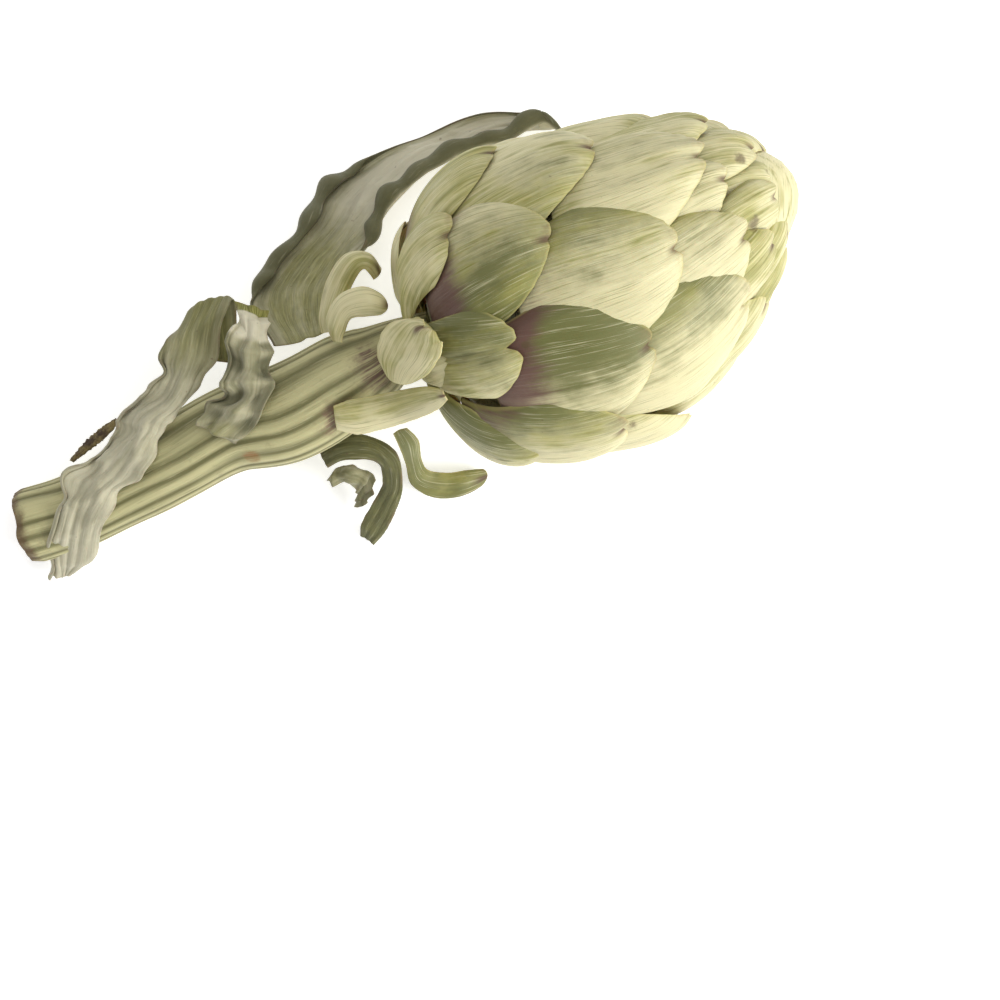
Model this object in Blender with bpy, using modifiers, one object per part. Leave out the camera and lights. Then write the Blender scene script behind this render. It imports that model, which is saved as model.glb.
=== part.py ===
"""A globe artichoke lying on its side: a tapering head of overlapping bracts, a ribbed stem and wilted leaves."""
import math

import bmesh
import bpy
import numpy as np
from mathutils import Vector

MM = 0.001
# Everything is moved by this much so that the origin is under the middle.
CENTRING = Vector((2.4, -0.5, 0.0)) * MM

# The head: a turned form about an axis that leans up towards the tip.
HEAD_BASE = np.array((-2.2, -0.5, 34.8))
HEAD_LEAN = math.radians(10.0)
HEAD_TURN = math.radians(17.3)
HEAD_RADIUS = 44.7
WIDEST_AT = 50.0
HEAD_LENGTH = 110.0
NECK_RADIUS = 8.0
# It is bent sideways a little: its middle line swings from the near shift to the far one between two distances.
BEND_NEAR = 2.0
BEND_FAR = -6.0
BEND_FROM = 62.0
BEND_TO = 108.0

# The bracts: a golden-angle spiral, numbered from the stem to the tip. The second stands off as the collar bract.
BRACT_NUMBERS = [number for number in range(1, 44) if number != 2]
GOLDEN_ANGLE = 137.508
SPIRAL_START = 33.5 - 18 * GOLDEN_ANGLE
# The tips on the upper side lie farther along than those below, by this much either way, fading out at both ends.
TOP_CLIMB = 11.0
BRACT_LAYER = 0.5
BRACT_THICKNESS = 0.9
BRACT_ROOT = 4.0
BRACT_CELLS = 6
TIP_TUCK = 0.5
BRACT_TURN = {
    5: -34.0, 7: 6.0, 8: -30.0, 10: 3.5, 12: 8.0, 13: -5.0, 15: 1.5, 20: 2.0, 23: 3.0, 26: -10.0, 31: -2.0, 36: -6.0,
}
BRACT_CLIMB = {
    5: -8.0, 8: 3.0, 10: -2.5, 12: 1.5, 13: 9.0, 15: -5.5, 18: 1.5, 20: -4.0, 23: -2.0, 26: 6.0, 28: 2.0, 31: 3.0,
    36: -4.0,
}
BRACT_LIFT = {5: 0.3, 8: 0.3, 26: -0.3}
WIDEST_HALF_ANGLE = 0.64

# The closed heart inside them, as (distance along the axis, radius).
HEART = (
    (107.4, 0.0), (107.1, 2.6), (105.5, 6.5), (102.5, 10.1), (98.9, 13.2), (95.0, 16.0), (90.8, 18.4),
    (82.0, 22.0), (73.8, 25.1), (66.0, 28.6), (58.6, 31.6), (51.0, 33.3), (42.8, 33.8), (34.6, 32.7),
    (27.3, 30.4), (20.8, 26.6), (16.0, 21.2), (13.3, 17.4), (11.8, 12.0), (11.0, 7.0), (11.0, 0.0),
)
HEART_STEPS = 28

# The stem, as (x, y, z, radius), from the cut end to the head.
STEM = (
    (-101.1, -48.1, 9.8, 9.8), (-98.5, -47.3, 10.1, 10.0), (-85.8, -43.4, 11.5, 10.0), (-72.5, -36.5, 14.0, 10.2),
    (-58.9, -29.8, 18.0, 10.6), (-45.4, -22.6, 22.0, 11.3), (-30.5, -18.6, 26.0, 12.5), (-15.5, -10.5, 31.0, 12.0),
    (-8.1, -6.2, 33.0, 10.0), (-1.6, -2.4, 34.8, 7.6), (7.6, 0.5, 36.4, 6.6),
)
STEM_RIBS = 12
STEM_RIB_DEPTH = 0.10

# The loose leaves and bracts, as rows of left edge, middle and right edge.
LEAF_THICKNESS = 1.2
DRAPED_LEAF = (
    ((-52.4, -4.7, 22.0), (-48.0, -5.3, 22.5), (-43.3, -5.8, 23.0)),
    ((-55.7, 5.0, 23.0), (-49.9, 6.0, 23.5), (-43.8, 7.6, 23.0)),
    ((-57.1, 7.9, 26.0), (-50.6, 10.2, 26.5), (-44.0, 11.5, 26.0)),
    ((-60.0, 1.3, 29.0), (-53.1, 2.9, 31.0), (-45.7, 5.6, 29.0)),
    ((-63.1, -7.2, 29.0), (-56.0, -6.3, 32.0), (-49.3, -6.7, 29.0)),
    ((-66.8, -14.3, 28.0), (-60.7, -15.0, 31.5), (-55.3, -15.2, 30.0)),
    ((-76.6, -22.4, 25.0), (-68.1, -23.1, 29.5), (-61.3, -20.8, 29.0)),
    ((-83.8, -29.6, 22.0), (-73.5, -31.3, 28.0), (-63.2, -28.7, 29.2)),
    ((-88.8, -38.4, 23.0), (-78.9, -40.2, 26.5), (-70.5, -36.4, 27.5)),
    ((-92.4, -49.2, 22.5), (-84.6, -49.0, 23.6), (-76.3, -45.7, 23.8)),
    ((-95.4, -58.2, 12.5), (-88.2, -56.8, 15.0), (-81.2, -55.6, 15.0)),
    ((-93.6, -60.8, 2.5), (-91.7, -61.0, 4.5), (-87.0, -58.6, 4.0)),
)
CRUMPLED_LEAF = (
    ((-42.8, 9.3, 34.0), (-38.5, 8.1, 36.0), (-34.4, 7.0, 34.0)),
    ((-41.8, 3.3, 36.0), (-38.1, 2.9, 38.0), (-34.7, 2.5, 36.0)),
    ((-43.7, -1.8, 37.0), (-38.4, -3.2, 39.5), (-33.1, -3.6, 37.0)),
    ((-45.3, -8.6, 37.0), (-38.9, -9.3, 40.0), (-32.5, -10.7, 39.0)),
    ((-45.4, -13.7, 36.0), (-39.9, -15.3, 39.5), (-33.4, -16.3, 40.0)),
    ((-50.9, -17.6, 34.0), (-44.7, -20.8, 37.5), (-38.7, -23.8, 37.5)),
    ((-52.5, -21.9, 33.0), (-48.1, -24.2, 34.8), (-43.0, -27.0, 35.4)),
)
BIG_LEAF = (
    ((-33.9, -1.5, 24.0), (-25.4, 0.2, 26.0), (-18.9, 3.6, 27.4)),
    ((-38.9, 6.3, 20.0), (-28.0, 6.0, 20.0), (-16.8, 7.0, 24.0)),
    ((-40.9, 12.4, 16.0), (-28.4, 14.0, 15.0), (-15.5, 12.8, 20.0)),
    ((-36.0, 21.7, 12.0), (-24.0, 21.8, 11.0), (-13.1, 21.2, 17.0)),
    ((-28.2, 31.1, 8.0), (-17.4, 30.2, 8.5), (-8.6, 27.6, 14.0)),
    ((-23.4, 41.6, 5.0), (-12.4, 37.9, 6.5), (-4.3, 36.0, 12.0)),
    ((-16.0, 46.6, 3.5), (-6.2, 44.1, 5.0), (1.5, 42.6, 10.0)),
    ((-4.9, 52.7, 1.6), (2.6, 51.2, 3.0), (9.7, 49.8, 8.0)),
    ((7.9, 58.1, 0.9), (13.8, 55.3, 1.6), (21.9, 53.1, 6.0)),
    ((18.7, 62.2, 2.0), (24.0, 59.5, 1.2), (32.0, 57.7, 4.0)),
    ((33.3, 62.2, 4.0), (36.0, 60.2, 3.5), (40.0, 57.7, 3.5)),
)
CURLED_BRACT_TALL = (
    ((-22.6, 0.9, 36.0), (-19.9, 1.2, 38.5), (-16.7, 1.4, 41.0)),
    ((-22.0, 5.8, 37.0), (-18.8, 5.5, 40.0), (-15.7, 5.1, 41.3)),
    ((-19.8, 14.3, 40.0), (-16.0, 13.0, 43.0), (-13.0, 12.2, 43.5)),
    ((-15.0, 20.6, 43.0), (-12.3, 18.0, 46.5), (-10.3, 16.0, 47.0)),
    ((-9.1, 21.2, 42.0), (-8.4, 18.4, 46.0), (-8.8, 15.6, 46.5)),
    ((-5.7, 17.4, 39.0), (-6.4, 15.6, 41.5), (-7.5, 14.0, 43.0)),
)
CURLED_BRACT_LOW = (
    ((-19.5, -0.6, 42.0), (-17.5, -1.8, 44.0), (-14.7, -2.3, 45.0)),
    ((-19.6, 4.1, 46.0), (-16.8, 2.2, 48.0), (-14.3, 0.8, 46.5)),
    ((-16.2, 9.6, 50.0), (-14.0, 6.6, 52.0), (-12.7, 3.6, 50.0)),
    ((-10.1, 11.8, 52.5), (-8.9, 7.9, 55.0), (-8.6, 3.9, 52.5)),
    ((-5.4, 10.1, 52.0), (-5.2, 7.1, 54.5), (-5.3, 4.3, 53.0)),
    ((-4.2, 7.8, 51.5), (-3.9, 6.5, 53.0), (-4.1, 5.3, 52.5)),
)
NECK_BRACT = (
    ((-18.0, -16.0, 43.3), (-17.6, -20.9, 41.5), (-16.9, -25.4, 37.0)),
    ((-11.4, -15.6, 45.0), (-10.5, -20.0, 43.3), (-9.8, -24.4, 38.0)),
    ((-2.8, -14.2, 50.0), (-1.6, -18.1, 48.6), (-0.6, -22.2, 44.2)),
    ((5.6, -13.5, 62.0), (6.7, -16.3, 61.6), (8.1, -19.6, 59.6)),
    ((10.2, -14.6, 67.6), (10.9, -15.8, 67.4), (11.4, -17.0, 66.8)),
)
COLLAR_BRACT = (
    ((-4.5, -9.5, 56.0), (-1.4, -12.2, 58.5), (2.6, -13.0, 61.5)),
    ((-6.4, -6.2, 57.0), (-0.4, -8.3, 62.0), (6.4, -11.2, 67.5)),
    ((-6.0, -2.2, 59.5), (1.7, -5.6, 67.0), (9.4, -7.5, 74.0)),
    ((-3.8, 1.4, 62.5), (3.5, -2.8, 70.0), (10.2, -4.5, 76.2)),
    ((0.3, 2.6, 67.0), (5.0, -0.5, 73.0), (9.8, -3.7, 76.4)),
    ((5.5, 1.9, 73.5), (7.2, 0.0, 75.0), (8.7, -1.3, 75.8)),
)
UNDER_LEAF = (
    ((-23.8, -27.3, 13.5), (-22.7, -30.0, 14.0), (-21.1, -32.6, 14.0)),
    ((-16.4, -23.8, 18.0), (-16.4, -27.4, 18.0), (-16.5, -30.6, 17.0)),
    ((-9.8, -24.3, 19.0), (-9.3, -27.5, 19.0), (-9.9, -30.6, 18.0)),
    ((-3.1, -28.5, 18.0), (-4.5, -31.3, 17.5), (-7.4, -32.6, 16.0)),
    ((-1.5, -37.1, 14.0), (-3.6, -37.3, 13.5), (-7.0, -36.8, 13.0)),
    ((-3.5, -43.9, 9.0), (-6.2, -42.9, 9.0), (-9.6, -41.5, 9.0)),
    ((-6.9, -50.1, 4.0), (-9.6, -48.5, 4.5), (-12.8, -46.9, 5.0)),
    ((-9.8, -53.1, 0.9), (-11.6, -51.7, 1.0), (-13.5, -50.6, 0.9)),
)
UNDER_CRUMPLE = (
    ((-22.1, -36.2, 8.0), (-20.9, -34.7, 10.5), (-19.3, -32.5, 10.0)),
    ((-17.8, -36.8, 9.0), (-16.6, -34.4, 12.0), (-15.1, -31.5, 10.0)),
    ((-14.2, -38.3, 7.0), (-12.4, -36.2, 10.0), (-9.8, -33.6, 8.6)),
    ((-14.9, -41.0, 4.0), (-12.4, -39.4, 6.6), (-9.8, -37.2, 6.0)),
    ((-15.6, -43.1, 0.9), (-13.6, -42.6, 2.4), (-11.2, -41.2, 2.4)),
)
SPOON_BRACT = (
    ((-3.4, -23.8, 27.0), (-1.8, -23.1, 28.0), (-0.1, -22.4, 27.0)),
    ((-1.9, -27.5, 22.5), (0.5, -26.6, 24.0), (2.8, -25.5, 22.5)),
    ((-0.6, -31.6, 15.0), (1.2, -31.1, 16.0), (3.3, -30.0, 15.0)),
    ((0.6, -36.8, 8.0), (2.9, -35.7, 9.0), (4.9, -33.0, 8.0)),
    ((6.4, -40.2, 4.0), (9.1, -37.3, 6.0), (10.2, -33.8, 5.0)),
    ((13.8, -39.7, 3.0), (14.9, -36.7, 5.0), (15.5, -33.0, 4.0)),
    ((20.3, -36.2, 0.9), (20.8, -34.6, 2.0), (20.5, -32.7, 1.6)),
)
DRY_BRACT = (
    ((-89.4, -30.6, 12.0), (-88.8, -30.8, 12.4), (-88.0, -31.2, 13.0)),
    ((-85.1, -26.0, 14.5), (-83.7, -26.8, 16.0), (-82.6, -27.6, 16.0)),
    ((-81.3, -22.7, 15.5), (-80.1, -23.8, 17.0), (-78.9, -24.9, 17.0)),
    ((-76.5, -19.5, 16.0), (-75.9, -20.1, 16.5), (-75.2, -20.8, 17.0)),
)

COLOURS = {
    "bract": (0.36, 0.33, 0.14, 1.0),
    "stem": (0.33, 0.31, 0.13, 1.0),
    "leaf": (0.33, 0.33, 0.18, 1.0),
}


def start_clean():
    for thing in list(bpy.data.objects):
        bpy.data.objects.remove(thing, do_unlink=True)
    part = bpy.data.collections.new("artichoke")
    helpers = bpy.data.collections.new("cutters")
    for group in (part, helpers):
        bpy.context.scene.collection.children.link(group)
    return part, helpers


def make_material(name, colour):
    material = bpy.data.materials.new(name)
    material.use_nodes = True
    shader = material.node_tree.nodes["Principled BSDF"]
    shader.inputs["Base Color"].default_value = colour
    shader.inputs["Roughness"].default_value = 0.65
    return material


def head_axes():
    """The unit vectors up, sideways and along the head."""
    flat = math.cos(HEAD_LEAN)
    along = np.array((flat * math.cos(HEAD_TURN), flat * math.sin(HEAD_TURN), math.sin(HEAD_LEAN)))
    side = np.array((math.sin(HEAD_TURN), -math.cos(HEAD_TURN), 0.0))
    up = np.cross(side, along)
    return up, side, along


def middle_line(distance):
    """The point of the head's bent middle line at a distance along its axis."""
    side, along = head_axes()[1:]
    share = np.clip((distance - BEND_FROM) / (BEND_TO - BEND_FROM), 0.0, 1.0)
    shift = BEND_NEAR + (BEND_FAR - BEND_NEAR) * share * share * (3.0 - 2.0 * share)
    return HEAD_BASE + distance * along + shift * side


def head_radius(along):
    """Radius of the head's outline: two blunt half-ovals meeting at the widest place."""
    low = np.clip((WIDEST_AT - along) / WIDEST_AT, 0.0, 1.0)
    high = np.clip((along - WIDEST_AT) / (HEAD_LENGTH - WIDEST_AT), 0.0, 1.0)
    radius_low = (1.0 - low ** 2.7) ** (1.0 / 2.5)
    radius_high = (1.0 - high ** 1.75) ** (1.0 / 1.85)
    return HEAD_RADIUS * np.where(along < WIDEST_AT, radius_low, radius_high)


def trace_outline():
    """The outline from the neck to the tip as length travelled, distance along the axis and radius."""
    along = HEAD_LENGTH * (1.0 - np.cos(np.linspace(0.0, math.pi, 4001))) / 2.0
    radius = head_radius(along)
    begin = int(np.argmax(radius > NECK_RADIUS))
    along = along[begin:]
    radius = radius[begin:]
    step = np.hypot(np.diff(along), np.diff(radius))
    travelled = np.concatenate(((0.0,), np.cumsum(step)))
    return travelled, along, radius


OUTLINE = trace_outline()
OUTLINE_LENGTH = float(OUTLINE[0][-1])


def outline_at(travelled):
    """Axis distance, radius and outward slope of the outline at a travelled length."""
    along = np.interp(travelled, OUTLINE[0], OUTLINE[1])
    radius = np.interp(travelled, OUTLINE[0], OUTLINE[2])
    ahead = np.minimum(travelled + 0.5, OUTLINE_LENGTH)
    behind = np.maximum(travelled - 0.5, 0.0)
    run = np.interp(ahead, OUTLINE[0], OUTLINE[1]) - np.interp(behind, OUTLINE[0], OUTLINE[1])
    rise = np.interp(ahead, OUTLINE[0], OUTLINE[2]) - np.interp(behind, OUTLINE[0], OUTLINE[2])
    size = np.hypot(run, rise)
    return along, radius, -rise / size, run / size


def bract_turn(number):
    return math.radians(SPIRAL_START + number * GOLDEN_ANGLE + BRACT_TURN.get(number, 0.0))


def climb(travelled):
    """How much farther along the tips at the very top lie than on an even spiral."""
    fade = np.clip((travelled - 95.0) / 45.0, 0.0, 1.0)
    return TOP_CLIMB * np.clip(travelled / 30.0, 0.0, 1.0) * (1.0 - fade * fade * (3.0 - 2.0 * fade))


def tip_length(number):
    """How far along the outline the tip of a bract lies."""
    even = float(np.interp(number, (0.0, 25.0, 43.0), (13.0, 101.5, 137.0)))
    place = even
    for _ in range(30):
        place = even + float(climb(place)) * math.cos(bract_turn(number))
    return place + BRACT_CLIMB.get(number, 0.0)


def bract_rank(travelled, turn):
    """The bract number whose tip would lie at a travelled length and a turn about the axis."""
    even = travelled - climb(travelled) * np.cos(turn)
    low = (even - 13.0) / 3.54
    high = 25.0 + (even - 101.5) * 18.0 / 35.5
    return np.where(even < 101.5, low, high)


def bract_length(number):
    longest = np.interp(number, (25.0, 43.0), (46.0, 36.0))
    return min(tip_length(number) - BRACT_ROOT, float(longest))


def bract_half_width(number, from_tip):
    widest = float(np.interp(number, (1.0, 10.0, 18.0, 24.0, 43.0), (8.0, 13.5, 22.0, 23.0, 9.0)))
    rounding = min(22.0, widest)
    near_tip = 1.0 - np.minimum(from_tip / rounding, 1.0)
    past = np.clip((from_tip - rounding) / 28.0, 0.0, 1.0)
    return widest * np.sqrt(1.0 - 0.95 * near_tip ** 2) * (1.0 - 0.3 * past)


def bract_point(number, across, down):
    """A place on a bract: across runs -1 to 1, down runs 0 at the tip to 1 at the root."""
    up, side = head_axes()[:2]
    length = bract_length(number)
    from_tip = length * down
    half = bract_half_width(number, from_tip)
    line = tip_length(number) - from_tip - 0.3 * half * (1.0 - down) * across ** 2
    radius = outline_at(line)[1]
    lateral = across * np.minimum(half, WIDEST_HALF_ANGLE * radius)
    to_apex = OUTLINE_LENGTH - line
    reach = np.hypot(to_apex, lateral)
    travelled = np.maximum(OUTLINE_LENGTH - reach, 0.2)
    axis_at, radius, back, out = outline_at(travelled)
    swing = np.arctan2(lateral, to_apex) * reach / np.maximum(radius, 1.0)
    turn = bract_turn(number) + swing
    depth = BRACT_LAYER * (number - bract_rank(travelled, turn)) - BRACT_LIFT.get(number, 0.0)
    depth = depth + TIP_TUCK * np.clip(1.0 - from_tip / 12.0, 0.0, 1.0) ** 2
    ring = radius - depth * out
    axis_at = axis_at - depth * back
    return middle_line(axis_at) + ring * (math.cos(turn) * up + math.sin(turn) * side)


def smooth(mesh):
    mesh.shade_smooth()
    mesh.set_sharp_from_angle(angle=math.radians(40.0))


def finish(thing, material, part):
    thing.data.materials.append(material)
    thing.location = thing.location + CENTRING
    part.objects.link(thing)
    return thing


def thicken(thing, thickness, offset):
    shell = thing.modifiers.new("thickness", "SOLIDIFY")
    shell.thickness = thickness * MM
    shell.offset = offset
    shell.use_rim = True


def build_bract(number, material, part):
    grid = bmesh.new()
    bmesh.ops.create_grid(grid, x_segments=BRACT_CELLS, y_segments=BRACT_CELLS, size=1.0)
    for vertex in grid.verts:
        across = -vertex.co.x
        down = (vertex.co.y + 1.0) / 2.0
        vertex.co = Vector(bract_point(number, across, down ** 1.15) * MM)
    mesh = bpy.data.meshes.new("bract_%02d" % number)
    grid.to_mesh(mesh)
    grid.free()
    smooth(mesh)
    bract = bpy.data.objects.new("bract_%02d" % number, mesh)
    thicken(bract, BRACT_THICKNESS, -1.0)
    return finish(bract, material, part)


def smooth_between(before, start, end, after, share):
    """A point on the smooth curve through four row points."""
    bend = 2.0 * before - 5.0 * start + 4.0 * end - after
    twist = 3.0 * start - before - 3.0 * end + after
    return start + 0.5 * share * (end - before + share * (bend + share * twist))


def sheet_point(rows, across, down):
    """A place on a leaf: a parabola through the row's three points, rows joined smoothly."""
    place = down * (len(rows) - 1)
    low = min(int(place), len(rows) - 2)
    picks = [rows[min(max(low + shift, 0), len(rows) - 1)] for shift in (-1, 0, 1, 2)]
    left, middle, right = smooth_between(*picks, place - low)
    toward_left = (across * across - across) / 2.0
    toward_right = (across * across + across) / 2.0
    return left * toward_left + middle * (1.0 - across * across) + right * toward_right


def build_sheet(name, rows, thickness, material, part):
    rows = [np.array(row) for row in rows]
    grid = bmesh.new()
    bmesh.ops.create_grid(grid, x_segments=4, y_segments=2 * (len(rows) - 1), size=1.0)
    for vertex in grid.verts:
        down = (1.0 - vertex.co.y) / 2.0
        vertex.co = Vector(sheet_point(rows, vertex.co.x, down) * MM)
    mesh = bpy.data.meshes.new(name)
    grid.to_mesh(mesh)
    grid.free()
    smooth(mesh)
    leaf = bpy.data.objects.new(name, mesh)
    thicken(leaf, thickness, 0.0)
    return finish(leaf, material, part)


def closed_outline(name, points):
    curve = bpy.data.curves.new(name, "CURVE")
    curve.dimensions = "2D"
    spline = curve.splines.new("POLY")
    spline.points.add(len(points) - 1)
    for point, place in zip(spline.points, points):
        point.co = (place[0], place[1], 0.0, 1.0)
    spline.use_cyclic_u = True
    return bpy.data.objects.new(name, curve)


def build_stem(material, part, helpers):
    ribs = []
    for step in range(2 * STEM_RIBS):
        angle = math.pi * step / STEM_RIBS
        reach = MM * (1.0 - STEM_RIB_DEPTH * (step % 2))
        ribs.append((reach * math.cos(angle), -reach * math.sin(angle)))
    section = closed_outline("stem_section", ribs)
    section.hide_render = True
    section.display_type = "WIRE"
    helpers.objects.link(section)
    curve = bpy.data.curves.new("stem", "CURVE")
    curve.dimensions = "3D"
    curve.twist_mode = "MINIMUM"
    curve.bevel_mode = "OBJECT"
    curve.bevel_object = section
    curve.use_fill_caps = True
    spline = curve.splines.new("POLY")
    spline.points.add(len(STEM) - 1)
    for point, (x, y, z, radius) in zip(spline.points, STEM):
        point.co = (x * MM, y * MM, z * MM, 1.0)
        point.radius = radius
    stem = bpy.data.objects.new("stem", curve)
    return finish(stem, material, part)


def build_heart(material, part):
    """A ball whose rings take the distances and radii of the heart's profile, about the bent middle line."""
    up, side = head_axes()[:2]
    places = np.arange(len(HEART))
    distances, radii = zip(*HEART)
    ball = bmesh.new()
    bmesh.ops.create_uvsphere(ball, u_segments=HEART_STEPS, v_segments=len(HEART) - 1, radius=1.0)
    for vertex in ball.verts:
        ring = math.acos(max(-1.0, min(1.0, vertex.co.z))) / math.pi * (len(HEART) - 1)
        reach = float(np.interp(ring, places, radii))
        turn = math.atan2(vertex.co.y, vertex.co.x)
        outward = math.cos(turn) * up + math.sin(turn) * side
        vertex.co = Vector((middle_line(float(np.interp(ring, places, distances))) + reach * outward) * MM)
    mesh = bpy.data.meshes.new("heart")
    ball.to_mesh(mesh)
    ball.free()
    smooth(mesh)
    return finish(bpy.data.objects.new("heart", mesh), material, part)


def cut_level(thing, slab):
    cut = thing.modifiers.new("rest", "BOOLEAN")
    cut.operation = "DIFFERENCE"
    cut.solver = "EXACT"
    cut.object = slab


def build_slab(helpers):
    """A slab under the ground plane, for the flat spots the head rests on."""
    mesh = bpy.data.meshes.new("ground_slab")
    shape = bmesh.new()
    bmesh.ops.create_cube(shape, size=1.0)
    for vertex in shape.verts:
        vertex.co = (vertex.co.x * 0.3, vertex.co.y * 0.3, vertex.co.z * 0.03 - 0.015)
    shape.to_mesh(mesh)
    shape.free()
    slab = bpy.data.objects.new("ground_slab", mesh)
    slab.hide_render = True
    slab.display_type = "WIRE"
    helpers.objects.link(slab)
    return slab


def build_artichoke():
    part, helpers = start_clean()
    materials = {name: make_material(name, colour) for name, colour in COLOURS.items()}
    slab = build_slab(helpers)
    for number in BRACT_NUMBERS:
        bract = build_bract(number, materials["bract"], part)
        if min(vertex.co.z for vertex in bract.data.vertices) < 0.0:
            cut_level(bract, slab)
    build_heart(materials["bract"], part)
    build_stem(materials["stem"], part, helpers)
    leaves = {
        "big_leaf": BIG_LEAF,
        "draped_leaf": DRAPED_LEAF,
        "crumpled_leaf": CRUMPLED_LEAF,
        "under_leaf": UNDER_LEAF,
        "under_crumple": UNDER_CRUMPLE,
    }
    for name, rows in leaves.items():
        build_sheet(name, rows, LEAF_THICKNESS, materials["leaf"], part)
    loose = {
        "curled_bract_tall": CURLED_BRACT_TALL,
        "curled_bract_low": CURLED_BRACT_LOW,
        "neck_bract": NECK_BRACT,
        "collar_bract": COLLAR_BRACT,
        "spoon_bract": SPOON_BRACT,
        "dry_bract": DRY_BRACT,
    }
    for name, rows in loose.items():
        build_sheet(name, rows, BRACT_THICKNESS, materials["bract"], part)


build_artichoke()
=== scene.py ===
"""A globe artichoke lying on its side: the grown surfaces and finishes laid over the fixed model."""
import math

import bpy
import numpy as np
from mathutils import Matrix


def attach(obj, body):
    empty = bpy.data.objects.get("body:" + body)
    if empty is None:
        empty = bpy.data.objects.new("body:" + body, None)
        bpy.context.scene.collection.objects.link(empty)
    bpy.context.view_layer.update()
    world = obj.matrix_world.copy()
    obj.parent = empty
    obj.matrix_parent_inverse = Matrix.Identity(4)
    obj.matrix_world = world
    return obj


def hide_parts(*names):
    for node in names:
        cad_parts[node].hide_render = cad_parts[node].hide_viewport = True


MM = 0.001
CENTRING = np.array((2.4, -0.5, 0.0))

# The head, as in the fixed model: a turned form about an axis that leans up towards the tip.
HEAD_BASE = np.array((-2.2, -0.5, 34.8))
HEAD_LEAN = math.radians(10.0)
HEAD_TURN = math.radians(17.3)
HEAD_RADIUS = 44.7
WIDEST_AT = 50.0
HEAD_LENGTH = 110.0
LOWER_POWERS = (2.7, 2.5)
UPPER_POWERS = (1.75, 1.85)
NECK_RADIUS = 8.0
BEND_NEAR = 2.0
BEND_FAR = -6.0
BEND_FROM = 62.0
BEND_TO = 108.0
GOLDEN_ANGLE = 137.508
SPIRAL_START = 33.5 - 18 * GOLDEN_ANGLE
TOP_CLIMB = 11.0
# How far along the outline the tips lie (mm) at a few numbers along the spiral; the last lies near the apex.
TIP_NUMBERS = (0.0, 25.0, 43.0, 61.0)
TIP_LENGTHS = (13.0, 101.5, 137.0)
APEX_GAP = 1.5
BRACT_NUMBERS = [number for number in range(1, 44) if number != 2]
BRACT_LAYER = 0.5
BRACT_ROOT = 4.0
WIDEST_HALF_ANGLE = 0.64

# Every bract (mm): how its tip is rounded, how far tip and margins turn in, and how thick rim and flesh are.
TIP_ROUNDING = 22.0
TIP_TUCK = 2.5
MARGIN_TUCK = 0.9
RIM_THICK = 0.22
FLESH_THICK = 0.7

# Half-widths of bracts (mm) at a few numbers along the spiral.
HALF_WIDTHS = ((1.0, 10.0, 18.0, 24.0, 43.0, 61.0), (8.0, 13.5, 22.0, 23.0, 9.0, 3.5))
BRACT_COLUMNS = 61
BRACT_ROWS = 67
APEX_GRID = 25

# How single bracts differ: turn (degrees), climb, wide and raise (mm), notch depth (mm) and where across it
# lies, lean of the tip (mm), blush (purple), dark olive with painted shade, cream with painted light, and how
# far the painted shade and light keep to opposite sides of the bract, as its shaded and its lit side.
PLAIN_BRACT = {
    "turn": 0.0, "climb": 0.0, "wide": 0.0, "raise": 0.0, "notch": 2.2, "notch_at": 0.0, "lean": 0.0,
    "blush": 0.32, "olive_and_shade": 0.3, "cream_and_light": 0.5, "sides": 0.4,
}
BRACT_FORMS = {
    4: {"raise": 0.8, "cream_and_light": 0.7, "olive_and_shade": 0.1, "blush": 0.0},
    5: {"turn": -34.0, "raise": 0.3, "climb": -8.0},
    7: {"turn": 6.0, "notch": 1.6, "notch_at": 0.15, "olive_and_shade": 0.35, "cream_and_light": 0.35, "blush": 0.15},
    8: {"turn": -30.0, "wide": 4.0, "raise": 0.3, "climb": 3.0, "notch": 3.0, "notch_at": 0.1, "blush": 0.0,
        "olive_and_shade": 0.6, "sides": 0.9},
    10: {"turn": 3.5, "climb": -2.5, "notch": 5.0, "notch_at": -0.05, "blush": 0.3, "olive_and_shade": 0.75,
        "cream_and_light": 0.45},
    12: {"turn": 8.0, "climb": 1.5, "blush": 0.75, "olive_and_shade": 0.5, "cream_and_light": 0.3},
    13: {"turn": -5.0, "climb": 9.0, "blush": 0.5, "olive_and_shade": 0.55, "cream_and_light": 0.7, "sides": 0.8},
    15: {"turn": 1.5, "climb": -5.5, "notch": 1.4, "notch_at": 0.1, "blush": 1.0, "olive_and_shade": 0.75,
        "sides": -0.5},
    18: {"climb": 1.5, "lean": -2.0, "blush": 0.85, "olive_and_shade": 0.95, "cream_and_light": 0.9, "sides": 1.0, "notch": 3.2},
    20: {"turn": 2.0, "climb": -4.0, "olive_and_shade": 0.5, "cream_and_light": 0.6, "sides": -0.4},
    21: {"cream_and_light": 0.9, "olive_and_shade": 0.1},
    23: {"turn": 3.0, "climb": -2.0, "blush": 0.35, "olive_and_shade": 0.45, "cream_and_light": 0.75, "sides": 0.8, "notch": 3.0},
    25: {"raise": -1.6},
    26: {"turn": -10.0, "raise": -0.3, "climb": 6.0, "notch": 3.4, "notch_at": 0.1, "olive_and_shade": 0.5,
        "cream_and_light": 1.0, "sides": 1.0},
    28: {"climb": 2.0, "cream_and_light": 0.7, "olive_and_shade": 0.35, "notch": 4.0},
    29: {"raise": -1.4, "cream_and_light": 1.0, "olive_and_shade": 0.1},
    31: {"turn": -2.0, "climb": 3.0, "cream_and_light": 0.9, "olive_and_shade": 0.35, "notch": 3.2, "sides": 0.7},
    36: {"turn": -6.0, "climb": -4.0, "cream_and_light": 0.8, "olive_and_shade": 0.4},
    38: {"raise": -1.4},
    42: {"raise": -1.2},
}
APEX_BRACTS = range(44, 62)
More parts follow.
